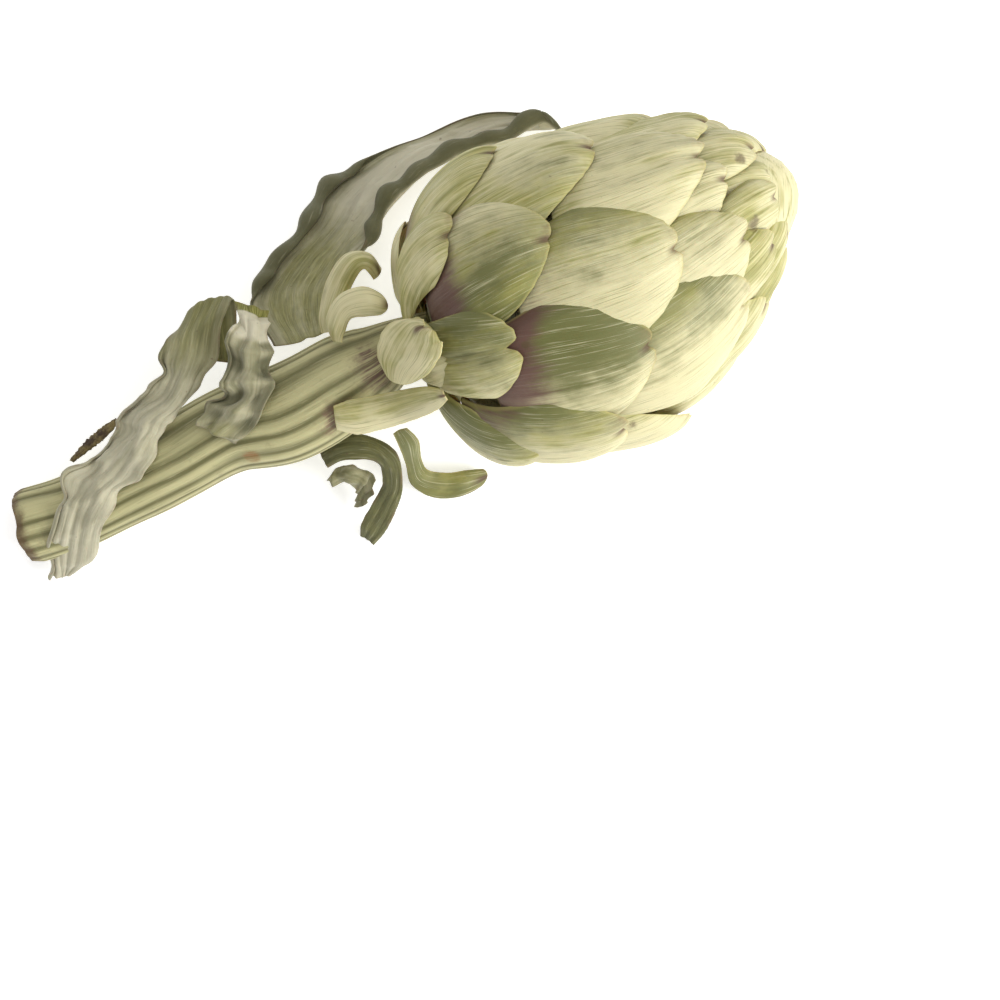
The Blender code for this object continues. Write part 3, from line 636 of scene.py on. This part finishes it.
def sheet_push(form, seed, a, v, x, y, rooted):
    """How far a loose sheet is pushed off itself.

    A sum of cosine ribs, a rounded midrib, a parabolic cup, a dip at the root, ruffles that grow with the
    fourth power of the distance from the middle, and creases: the distance of two wave sums from zero.
    """
    count, height = form["ribs"]
    push = height * np.cos(math.pi * count * (a + 0.04 * ripples(y, x, seed + 3, (0.3, 0.0))))
    height, width = form["midrib"]
    push = push + height * np.exp(-(a / width) ** 2)
    push = push + form["cup"] * (0.5 - a ** 2) - 3.0 * rooted * (1.0 - a ** 2 * 0.3)
    height, spacing = form["ruffle"]
    wave = 2.0 * math.pi / spacing
    left_wave = ripples(y, x, seed + 4, (wave, 0.02), 4)
    right_wave = ripples(y, x, seed + 5, (wave, 0.02), 4)
    push = push + height * np.abs(a) ** 4 * np.where(a < 0.0, left_wave, right_wave)
    height, spacing = form["crumple"]
    wave = 2.0 * math.pi / spacing
    crease = np.abs(ripples(x, y, seed + 6, (wave, 0.5 * wave), 5))
    crease = crease + np.abs(ripples(x, y, seed + 7, (0.6 * wave, wave), 5))
    fine = np.abs(ripples(x, y, seed + 8, (2.2 * wave, 1.6 * wave), 5))
    return push + height * (0.9 - 0.8 * crease + 0.1 * fine) * ease(v, 0.0, 0.12)


def roll_shift(roll, beyond, v, uneven, sideways, upward):
    """The way from a rolled margin's edge to places beyond it: on round a circle.

    It is radius * (sin(angle) sideways + (1 - cos(angle)) upwards), and radius and angle grow with the share
    of the roll at each place down.
    """
    strength = roll_share(roll, v)
    radius = roll[0] * (0.25 + 0.75 * strength) * (1.0 + 0.22 * uneven)
    angle = 2.0 * math.pi * roll[1] * beyond * (0.3 + 0.7 * strength)
    way = np.sin(angle)[..., None] * sideways + (1.0 - np.cos(angle))[..., None] * upward
    return radius[..., None] * way


def border_distance(points, v, size):
    """How far the points of a sheet are from its border, measured along it."""
    steps = np.linalg.norm(np.diff(points, axis=0), axis=-1)
    travelled = np.concatenate((np.zeros((1, points.shape[1])), np.cumsum(steps, axis=0)))
    edge = np.minimum(travelled, travelled[-1:] - travelled)
    edge = np.minimum(edge, np.minimum(v, 1.0 - v) * size)
    edge[:, 0] = edge[:, -1] = 0.0
    return edge


def build_loose(name, material):
    """A leaf or bract that stands off: a sheet along guide rows, trimmed, pushed off itself and rolled.

    The trim is a wave sum down each margin, the far end is cut to a blunt oval with a notch, and the sheet is
    given its thickness half to each side, rounded off at its border.
    """
    form = dict(LOOSE_PLAIN, **LOOSE_PIECES[name])
    seed = LOOSE_SEED + sum(name.encode())
    spread, first = sheet_columns(form)
    s, v = np.meshgrid(spread, np.linspace(0.0, 1.0, form["grid"][1]), indexing="ij")
    a = np.clip(s, -1.0, 1.0)
    beyond = np.abs(s) - np.abs(a)
    rows = np.array(form["rows"])
    size = np.linalg.norm(np.diff(rows[:, 1], axis=0), axis=1).sum()
    broad = float(np.linalg.norm(rows[:, 2] - rows[:, 0], axis=1).mean())
    share, spacing = form["ragged"]
    wave = 2.0 * math.pi / spacing
    left_trim = share * (0.6 + 0.4 * ripples(v * size, v, seed + 1, (wave, 0.0)))
    right_trim = share * (0.6 + 0.4 * ripples(v * size, v, seed + 2, (wave, 0.0)))
    left_trim = left_trim + roll_share(form["roll_left"], v) * 0.12
    right_trim = right_trim + roll_share(form["roll_right"], v) * 0.12
    trimmed = a * (1.0 - np.where(a < 0.0, left_trim, right_trim) * np.abs(a) ** 0.5)
    far = form["round"] * (1.0 - np.sqrt(1.0 - np.abs(a) ** 2.2))
    far = far + form["notch"] * np.exp(-np.abs(a / 0.16) ** 1.4)
    rooted = form["root"] * (1.0 - ease(v, 0.0, 0.22))
    points = guide_points(rows, trimmed * (1.0 - rooted), v * (1.0 - far))
    toward, off = sheet_normals(points)
    off_up = off if off[..., 2].mean() > 0.0 else -off
    x, y = a * broad / 2.0, v * size
    push = sheet_push(form, seed, a, v, x, y, rooted)
    points = points + push[..., None] * off_up
    uneven = ripples(y, x, seed + 9, (0.5, 0.0))
    last = first + form["grid"][0] - 1
    for roll, sign, edge_at in ((form["roll_left"], -1.0, first), (form["roll_right"], 1.0, last)):
        if roll:
            shift = roll_shift(roll, beyond, v, uneven, toward[edge_at] * sign, off_up[edge_at])
            points = np.where((sign * s > 1.0)[..., None], points[edge_at] + shift, points)
    off = sheet_normals(points)[1]
    edge = border_distance(points, v, size)
    half_thick = form["thick"] / 2.0 * (0.3 + 0.7 * np.minimum(edge / 3.0, 1.0))
    half_thick = half_thick * np.sqrt(1.0 - (1.0 - np.minimum(edge / 0.4, 1.0)) ** 2)
    notes = {
        "ways": np.stack((x + (s - a) * 4.0, y, np.full_like(y, seed * 1.7)), axis=-1),
        "marks": np.stack((edge, (1.0 - v) * size, np.abs(a) * broad / 2.0), axis=-1),
        "tint": piece_tint(name, form["tint"], a, v, beyond, push),
    }
    grown = half_thick[..., None] * off
    points, faces, notes = close_sheet(points + grown, points - grown, notes)
    return make_piece(name + "_skin", points, faces, notes, material, name)


def piece_tint(name, tint, a, v, beyond, push):
    """Where a loose piece changes: a leaf's green midrib, cut green band and white flesh, and painted shade
    in rolls, creases, near the draped leaf's root and towards one side, with painted light on the neck
    bract's lit side.
    """
    first, third = np.full_like(v, tint[0]), np.full_like(v, tint[2])
    # Painted shade on the inside of rolled margins.
    second = tint[1] + 0.5 * np.minimum(beyond, 1.0)
    if name == "big_leaf":
        rolled = np.minimum(beyond * 3.0, 1.0)
        first = 0.75 * (1.0 - ease(v, 0.25, 0.75)) * (1.0 - ease(np.abs(a), 0.5, 1.0))
        # Painted shade on the big leaf's rolls and towards its left margin.
        second = np.clip(0.15 + 0.85 * rolled + 0.2 * ease(-a, 0.3, 0.8), 0.0, 1.0)
        third = 0.55 + 0.8 * ease(v, 0.3, 0.7) * (1.0 - ease(-a, 0.4, 0.9)) * (1.0 - rolled)
    if name == "crumpled_leaf":
        band = 1.0 - ease(v, 0.05, 0.1)
        flesh = ease(v, 0.06, 0.11) * (1.0 - ease(v, 0.2, 0.3))
        first = first + band + 0.5 * ease(v, 0.75, 0.95) * (1.0 - ease(np.abs(a), 0.3, 0.9))
        # Painted shade in the crumpled leaf's creases and towards one side.
        second = second + 0.5 * ease(-push, -0.6, 1.8) + 0.3 * ease(a, 0.4, 0.9)
        second = np.clip(second - band - flesh, 0.0, 1.0)
        third = np.clip(third + flesh - 0.8 * band, 0.0, 1.6)
    if name == "draped_leaf":
        first = first + 0.5 * (1.0 - ease(v, 0.1, 0.45)) * (1.0 - ease(np.abs(a), 0.4, 1.0))
        # Painted shade near the draped leaf's root, where it folds over: darker and less pale there.
        second = second + 0.45 * (1.0 - ease(v, 0.1, 0.4))
        third = third * (0.4 + 0.6 * ease(v, 0.15, 0.45))
    if name == "neck_bract":
        # Painted light: the neck bract's cream grows towards its lit side.
        third = third * (0.5 + ease(a, -0.2, 0.9))
    return np.stack((first, second, third), axis=-1)


def build_stem(material):
    """The stem: a ribbed ring carried along a smooth path, with a sunken, torn cut end.

    The ring's radius is the path's radius * (1 + rib * (|cos|^0.7 - 0.6) + wave sums), and each ring stands
    square to the path. At the cut end the rings shrink to a point while sinking by a small wave sum.
    """
    route = smooth_path(STEM, np.linspace(0.0, 1.0, STEM_LENGTHS))
    middle, radius = route[:, :3], route[:, 3]
    ahead = unit(np.gradient(middle, axis=0))
    side = unit(np.cross(np.array((0.0, 0.0, 1.0)), ahead))
    over = np.cross(side, ahead)
    travelled = np.concatenate(((0.0,), np.cumsum(np.linalg.norm(np.diff(middle, axis=0), axis=1))))
    turns = np.linspace(0.0, 2.0 * math.pi, STEM_COLUMNS, endpoint=False)
    t, y = np.meshgrid(turns, travelled, indexing="ij")
    wander = 0.15 * ripples(np.cos(t), y, 31, (1.0, 0.05)) + 0.3 * np.sin(0.03 * y)
    spaced = t + 0.14 * np.sin(3.0 * t + 1.0) + 0.08 * np.sin(5.0 * t + 2.0)
    rib = np.abs(np.cos((STEM_RIBS * spaced + wander * 3.0) / 2.0))
    uneven = 0.5 + 0.5 * ripples(np.cos(t) * 2.0, np.sin(t) * 2.0, 37, (2.0, 2.0))
    ribbing = (rib ** 0.7 - 0.6) * (0.7 + 0.5 * uneven)
    fade = 1.0 - 0.55 * ease(y, 78.0, 98.0)
    shape = 1.0 + 0.04 * ribbing * fade + 0.02 * ripples(np.cos(t) * 3.0, y, 41, (1.0, 0.15))
    torn = 0.05 + 0.02 * ripples(np.cos(t) * 4.0, np.sin(t) * 4.0, 43, (1.5, 1.5))
    reach = radius[None] * (shape - torn * (1.0 - ease(y, 0.0, 2.4)))
    ring = np.cos(t)[..., None] * side[None] + np.sin(t)[..., None] * over[None]
    ragged = (1.0 - ease(y, 0.0, 4.0)) * 0.5 * ripples(np.cos(t) * 3.0, np.sin(t) * 3.0, 47, (1.3, 1.3))
    tube = middle[None] + reach[..., None] * ring - ragged[..., None] * ahead[None]
    inward = np.linspace(1.0, 0.0, 14)[1:-1]
    floor = tube[:, :1] * inward[None, :, None] + middle[None, :1] * (1.0 - inward)[None, :, None]
    uneven_cut = ripples(inward[None] * 6.0, np.cos(t[:, :1]) * 3.0, 53, (2.0, 2.0))
    dip = CUT_DEPTH * (1.0 - inward ** 3) + 0.3 * uneven_cut * (1.0 - inward ** 4)
    floor = floor + dip[..., None] * ahead[:1][None]
    grid = np.concatenate((floor[:, ::-1], tube), axis=1)
    columns, rows = grid.shape[:2]
    squares, fans = close_ball(columns, rows)
    poles = np.stack((middle[0] + CUT_DEPTH * ahead[0], middle[-1]))
    inside = np.tile(inward[::-1], (columns, 1))
    groove = np.concatenate((np.full_like(inside, 0.5), rib), axis=1)
    run = np.concatenate((-10.0 * (1.0 - inside) - 0.5, y), axis=1)
    turned = np.broadcast_to(turns[:, None], run.shape)
    cut = np.concatenate((inside, np.ones_like(t)), axis=1)
    ways = np.stack((np.cos(turned) * 10.0, np.sin(turned) * 10.0, run), axis=-1).reshape(-1, 3)
    marks = np.stack((groove, run, cut), axis=-1).reshape(-1, 3)
    notes = {
        "ways": np.concatenate((ways, ((0.0, 0.0, -10.5), (0.0, 0.0, travelled[-1])))),
        "marks": np.concatenate((marks, ((0.5, -10.5, 0.0), (0.5, travelled[-1], 1.0)))),
    }
    points = np.concatenate((grid.reshape(-1, 3), poles))
    return make_piece("stem_skin", points, squares, notes, material, "stem", fans)


class Socket:
    """A value in a finish. Arithmetic on it adds Math nodes."""

    def __init__(self, finish, socket):
        self.finish = finish
        self.socket = socket

    def sum_of(self, operation, first, second):
        """The outcome of a Math node."""
        return self.finish.node("ShaderNodeMath", {"operation": operation}, {0: first, 1: second})

    def __add__(self, other):
        return self.sum_of("ADD", self, other)

    __radd__ = __add__

    def __sub__(self, other):
        return self.sum_of("SUBTRACT", self, other)

    def __rsub__(self, other):
        return self.sum_of("SUBTRACT", other, self)

    def __mul__(self, other):
        return self.sum_of("MULTIPLY", self, other)

    __rmul__ = __mul__


class Finish:
    """One material: a Principled shader and the nodes that drive it."""

    def __init__(self, name, roughness=0.6, **constants):
        self.material = bpy.data.materials.new(name)
        self.material.use_nodes = True
        self.tree = self.material.node_tree
        self.shader = self.tree.nodes["Principled BSDF"]
        self.shader.inputs["Roughness"].default_value = roughness
        for key, value in constants.items():
            self.shader.inputs[key.replace("_", " ")].default_value = value

    def node(self, kind, settings, inputs, output=0):
        """A node of that type: its settings first, then the values or links of its sockets."""
        made = self.tree.nodes.new(kind)
        for key, value in settings.items():
            setattr(made, key, value)
        for key, value in inputs.items():
            if isinstance(value, Socket):
                self.tree.links.new(value.socket, made.inputs[key])
            else:
                made.inputs[key].default_value = value
        return Socket(self, made.outputs[output])

    def note(self, name):
        """The three numbers of a surface note kept on the mesh."""
        vector = self.node("ShaderNodeAttribute", {"attribute_name": name}, {}, "Vector")
        return [self.node("ShaderNodeSeparateXYZ", {}, {0: vector}, part) for part in range(3)]

    def place(self, x, y, z):
        """A vector from three values."""
        return self.node("ShaderNodeCombineXYZ", {}, {0: x, 1: y, 2: z})

    def here(self):
        """The place on the object."""
        return self.node("ShaderNodeTexCoord", {}, {}, "Object")

    def noise(self, vector, scale, detail, roughness):
        """Cloudy noise of about 0 to 1."""
        inputs = {"Vector": vector, "Scale": scale, "Detail": detail, "Roughness": roughness}
        return self.node("ShaderNodeTexNoise", {}, inputs)

    def fibres(self, ways, across, down, detail):
        """Noise drawn out along a surface, at so many waves across and down it."""
        stretched = self.place(ways[0] * across, ways[1] * down, ways[2])
        return self.noise(stretched, 1.0, detail, 0.6)

    def ease(self, value, low, high):
        """0 at low, 1 at high, with a soft start and end."""
        inputs = {"Value": value, "From Min": low, "From Max": high}
        return self.node("ShaderNodeMapRange", {"interpolation_type": "SMOOTHSTEP"}, inputs)

    def mix(self, share, first, second):
        """A colour between two colours."""
        settings = {"data_type": "RGBA", "clamp_factor": True}
        return self.node("ShaderNodeMix", settings, {0: share, 6: first, 7: second}, 2)

    def patch(self, place, reach, waver, core, mottle):
        """1 near a place and 0 beyond its reach, with a border that the mottling moves."""
        ends = {0: self.here(), 1: place}
        away = self.node("ShaderNodeVectorMath", {"operation": "DISTANCE"}, ends, "Value")
        return self.ease(away + (mottle - 0.5) * reach * waver, reach, reach * core)

    def bump(self, height, strength, distance):
        """A relief from a height."""
        inputs = {"Strength": strength, "Distance": distance, "Height": height}
        return self.node("ShaderNodeBump", {}, inputs)

    def drive(self, **sockets):
        """The material, with these sockets of its shader linked."""
        for key, value in sockets.items():
            self.tree.links.new(value.socket, self.shader.inputs[key.replace("_", " ")])
        return self.material


def tone(red, green, blue):
    """A colour given as it looks, from 0 to 255, turned into light amounts."""
    looks = np.array((red, green, blue)) / 255.0
    light = np.where(looks <= 0.04045, looks / 12.92, ((looks + 0.055) / 1.055) ** 2.4)
    return (*light.tolist(), 1.0)


def bract_finish():
    """Pale olive skin: fine fibres, blotches, a purple blush, brown freckles and pale thin margins; the cream
    carries painted light and the dark olive blotches painted shade.
    """
    finish = Finish("bract_skin", roughness=0.55, Subsurface_Weight=0.06, Subsurface_Scale=0.002)
    ways = finish.note("ways")
    edge, from_tip, aside = finish.note("marks")
    blush, olive_and_shade, cream_and_light = finish.note("tint")
    streak = finish.fibres(ways, 1.1, 0.035, 4.0)
    thread = finish.fibres(ways, 4.2, 0.07, 3.0)
    broad = finish.noise(finish.place(ways[0] * 0.13, ways[1] * 0.06, ways[2]), 1.0, 3.0, 0.55)
    mottle = finish.noise(finish.here(), 260.0, 4.0, 0.6)
    grain = finish.noise(finish.here(), 2600.0, 2.0, 0.6)
    skin = finish.mix(finish.ease(streak, 0.3, 0.7), tone(140, 138, 70), tone(184, 177, 108))
    # Cream: partly the bract's pale tone, partly painted light on its lit side.
    pale_and_lit = finish.ease(broad * 0.9 + streak * 0.5 + cream_and_light * 0.45, 0.72, 1.08)
    skin = finish.mix(pale_and_lit, skin, tone(214, 206, 160))
    # Dark olive blotches: partly the bract's own tone, partly painted shade on its shaded side.
    shade = finish.ease(broad * 0.6 + streak * 0.35 + mottle * 0.15 + olive_and_shade * 0.5, 0.74, 1.08)
    skin = finish.mix(shade * 0.95, skin, tone(102, 104, 52))
    skin = finish.mix(finish.ease(thread, 0.54, 0.76) * 0.6, skin, tone(228, 221, 182))
    skin = finish.mix(finish.ease(thread, 0.47, 0.28) * 0.6, skin, tone(112, 110, 58))
    flush = finish.ease(blush * 0.85 + streak * 0.45 + thread * 0.35 + mottle * 0.15, 0.68, 1.1)
    skin = finish.mix(flush * 0.85, skin, tone(100, 64, 62))
    freckle = finish.ease(finish.noise(finish.here(), 700.0, 2.0, 0.5), 0.73, 0.80)
    skin = finish.mix(freckle * 0.4, skin, tone(92, 82, 48))
    rim = finish.ease(edge, 0.8, 0.1)
    skin = finish.mix(rim * 0.4, skin, tone(194, 184, 112))
    brown = finish.ease(from_tip, 5.0, 0.5) * finish.ease(mottle, 0.4, 0.7)
    skin = finish.mix(brown * 0.45, skin, tone(128, 100, 62))
    tip_spot = finish.ease(from_tip, 6.5, 2.4) * finish.ease(aside, 1.5, 0.3)
    skin = finish.mix(tip_spot * 0.85, skin, tone(84, 56, 36))
    for place, reach in BLEMISHES:
        patch = finish.patch(place, reach, 2.0, 0.4, mottle)
        skin = finish.mix(patch * 0.75, skin, tone(92, 74, 46))
    relief = finish.bump(thread * 0.5 + streak * 0.6 + grain * 0.15, 0.4, 0.0006)
    return finish.drive(Base_Color=skin, Roughness=0.46 + grain * 0.2, Normal=relief)


def leaf_finish():
    """Felted grey-green leaf: long fibres, pale felt with painted highlights, green places, dark places with
    painted shade, and browned margins.
    """
    finish = Finish(
        "leaf_felt", roughness=0.8, Subsurface_Weight=0.04, Subsurface_Scale=0.001, Sheen_Weight=0.15
    )
    ways = finish.note("ways")
    edge = finish.note("marks")[0]
    green, dark, pale = finish.note("tint")
    streak = finish.fibres(ways, 0.7, 0.05, 4.0)
    thread = finish.fibres(ways, 3.2, 0.14, 3.0)
    mottle = finish.noise(finish.here(), 210.0, 5.0, 0.65)
    felt = finish.noise(finish.here(), 2200.0, 3.0, 0.65)
    skin = finish.mix(finish.ease(streak, 0.3, 0.7), tone(128, 125, 88), tone(160, 155, 118))
    fresh = finish.mix(finish.ease(thread, 0.35, 0.7), tone(106, 106, 40), tone(156, 152, 84))
    skin = finish.mix(finish.ease(green + streak * 0.4, 0.35, 1.1), skin, fresh)
    # Pale felt with painted highlights.
    pale_and_highlight = finish.ease(pale * 0.8 + streak * 0.35 + mottle * 0.25, 0.55, 1.15)
    skin = finish.mix(pale_and_highlight, skin, tone(206, 200, 174))
    # Dark places: painted shade in rolls, creases and shaded parts, over some darker tone of the leaf.
    skin = finish.mix(finish.ease(dark * 0.8 + mottle * 0.35, 0.5, 1.05) * 0.85, skin, tone(84, 84, 54))
    skin = finish.mix(finish.ease(thread, 0.58, 0.8) * 0.3, skin, tone(214, 208, 184))
    skin = finish.mix(finish.ease(thread, 0.42, 0.22) * 0.35, skin, tone(96, 95, 62))
    browned = finish.ease(edge, 1.1, 0.1) * finish.ease(mottle, 0.45, 0.65)
    skin = finish.mix(browned * 0.55, skin, tone(128, 104, 78))
    speck = finish.ease(finish.noise(finish.here(), 520.0, 2.0, 0.5), 0.72, 0.79)
    skin = finish.mix(speck * 0.5, skin, tone(98, 74, 58))
    relief = finish.bump(thread * 0.45 + streak * 0.5 + mottle * 0.3 + felt * 0.3, 0.5, 0.0008)
    return finish.drive(Base_Color=skin, Roughness=0.72 + felt * 0.2, Normal=relief)


def dry_finish():
    """A dried bract, mottled dark brown and olive, with pale fibres."""
    finish = Finish("dry_skin", roughness=0.75)
    ways = finish.note("ways")
    thread = finish.fibres(ways, 3.0, 0.2, 4.0)
    mottle = finish.noise(finish.here(), 320.0, 4.0, 0.6)
    skin = finish.mix(finish.ease(mottle, 0.35, 0.65), tone(74, 58, 42), tone(138, 122, 78))
    skin = finish.mix(finish.ease(thread, 0.55, 0.75) * 0.5, skin, tone(172, 154, 108))
    return finish.drive(Base_Color=skin, Normal=finish.bump(thread + mottle, 0.5, 0.0006))


def stem_finish():
    """Pale yellow-green ribs with dark grooves, fibres, a torn brown cut end, and brown and purple scars."""
    finish = Finish("stem_skin", roughness=0.6, Subsurface_Weight=0.05, Subsurface_Scale=0.002)
    round_x, round_y, run = finish.note("ways")
    rib, length, cut = finish.note("marks")
    streak = finish.noise(finish.place(round_x * 0.7, round_y * 0.7, run * 0.03), 1.0, 4.0, 0.6)
    thread = finish.noise(finish.place(round_x * 2.2, round_y * 2.2, run * 0.1), 1.0, 3.0, 0.6)
    mottle = finish.noise(finish.here(), 190.0, 5.0, 0.65)
    grain = finish.noise(finish.here(), 2000.0, 2.0, 0.6)
    ribbed = finish.ease(rib * 0.6 + streak * 0.9, 0.45, 1.15)
    skin = finish.mix(ribbed, tone(112, 109, 68), tone(192, 186, 138))
    skin = finish.mix(finish.ease(thread, 0.56, 0.78) * 0.45, skin, tone(212, 205, 162))
    skin = finish.mix(finish.ease(thread, 0.44, 0.25) * 0.4, skin, tone(88, 86, 48))
    skin = finish.mix(finish.ease(mottle, 0.55, 0.75) * 0.4, skin, tone(122, 116, 84))
    scars = (
        ((-0.0369, -0.0305, 0.031), 0.003, tone(146, 104, 56)),
        ((-0.0137, -0.0215, 0.040), 0.007, tone(112, 80, 66)),
        ((-0.0041, -0.0080, 0.043), 0.009, tone(86, 54, 52)),
        ((-0.0780, -0.0400, 0.024), 0.005, tone(120, 92, 58)),
    )
    for place, reach, colour in scars:
        patch = finish.patch(place, reach, 1.6, 0.35, mottle)
        skin = finish.mix(patch * finish.ease(thread, 0.3, 0.6) * 0.85, skin, colour)
    torn = finish.ease(length + (mottle - 0.5) * 8.0, 4.0, 0.5)
    skin = finish.mix(torn * 0.85, skin, tone(98, 74, 48))
    pith = finish.mix(finish.ease(mottle, 0.4, 0.7), tone(134, 108, 72), tone(182, 162, 118))
    skin = finish.mix(finish.ease(cut, 0.95, 0.7), skin, pith)
    relief = finish.bump(thread * 0.7 + mottle * 0.4 + grain * 0.15, 0.5, 0.0008)
    return finish.drive(Base_Color=skin, Roughness=0.55 + grain * 0.2, Normal=relief)


def build_artichoke():
    """Every fixed piece gets its grown skin."""
    bract_skin = bract_finish()
    leaf_skin = leaf_finish()
    dry_skin = dry_finish()
    for number in BRACT_NUMBERS:
        build_bract(number, bract_skin)
    build_heart(bract_skin)
    build_stem(stem_finish())
    for name, form in LOOSE_PIECES.items():
        fresh = leaf_skin if form.get("slot") == "leaf" else bract_skin
        build_loose(name, dry_skin if name == "dry_bract" else fresh)


def build_studio():
    """A pale floor, a large low lamp from the front right, a soft fill and a pale sky."""
    mesh = bpy.data.meshes.new("floor")
    mesh.from_pydata([(-3, -3, 0), (3, -3, 0), (3, 3, 0), (-3, 3, 0)], [], [(0, 1, 2, 3)])
    floor = bpy.data.objects.new("floor", mesh)
    bpy.context.scene.collection.objects.link(floor)
    pale = Finish("pale_floor", roughness=0.9, Emission_Strength=0.5, Emission_Color=(1.0, 1.0, 1.0, 1.0))
    pale.shader.inputs["Base Color"].default_value = (0.9, 0.9, 0.9, 1.0)
    mesh.materials.append(pale.material)
    floor.location.z = -0.0002
    lamps = (
        ("key_lamp", (0.72, -0.28, 0.5), 0.4, 6.7),
        ("fill_lamp", (0.1, 0.35, 1.0), 0.8, 3.4),
    )
    for name, place, size, power in lamps:
        lamp = bpy.data.lights.new(name, "AREA")
        lamp.size = size
        lamp.energy = power
        holder = bpy.data.objects.new(name, lamp)
        holder.location = place
        aim = np.array((0.03, 0.0, 0.03)) - np.array(place)
        flat = math.hypot(aim[0], aim[1])
        holder.rotation_euler = (math.atan2(flat, -aim[2]), 0.0, math.atan2(aim[1], aim[0]) - math.pi / 2.0)
        bpy.context.scene.collection.objects.link(holder)
    world = bpy.data.worlds.new("pale_sky")
    world.use_nodes = True
    world.node_tree.nodes["Background"].inputs[0].default_value = (1.0, 1.0, 1.0, 1.0)
    world.node_tree.nodes["Background"].inputs[1].default_value = 0.46
    bpy.context.scene.world = world
    bpy.context.scene.view_settings.view_transform = "Standard"


def build_camera():
    """Straight above, at the height from which the head and the stem have their true proportions."""
    lens = bpy.data.cameras.new("camera")
    lens.lens = 85.0
    lens.sensor_width = 36.0
    lens.clip_start = 0.01
    camera = bpy.data.objects.new("camera", lens)
    camera.location = (0.0264, -0.0415, 0.6335)
    bpy.context.scene.collection.objects.link(camera)
    bpy.context.scene.camera = camera


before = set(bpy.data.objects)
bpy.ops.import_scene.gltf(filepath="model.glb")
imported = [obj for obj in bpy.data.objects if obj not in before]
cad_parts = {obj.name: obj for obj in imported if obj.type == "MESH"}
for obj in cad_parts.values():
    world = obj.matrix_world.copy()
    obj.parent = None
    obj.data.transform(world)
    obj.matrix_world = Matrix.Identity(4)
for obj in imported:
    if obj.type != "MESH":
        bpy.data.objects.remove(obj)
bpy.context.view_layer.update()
build_artichoke()
build_studio()
build_camera()
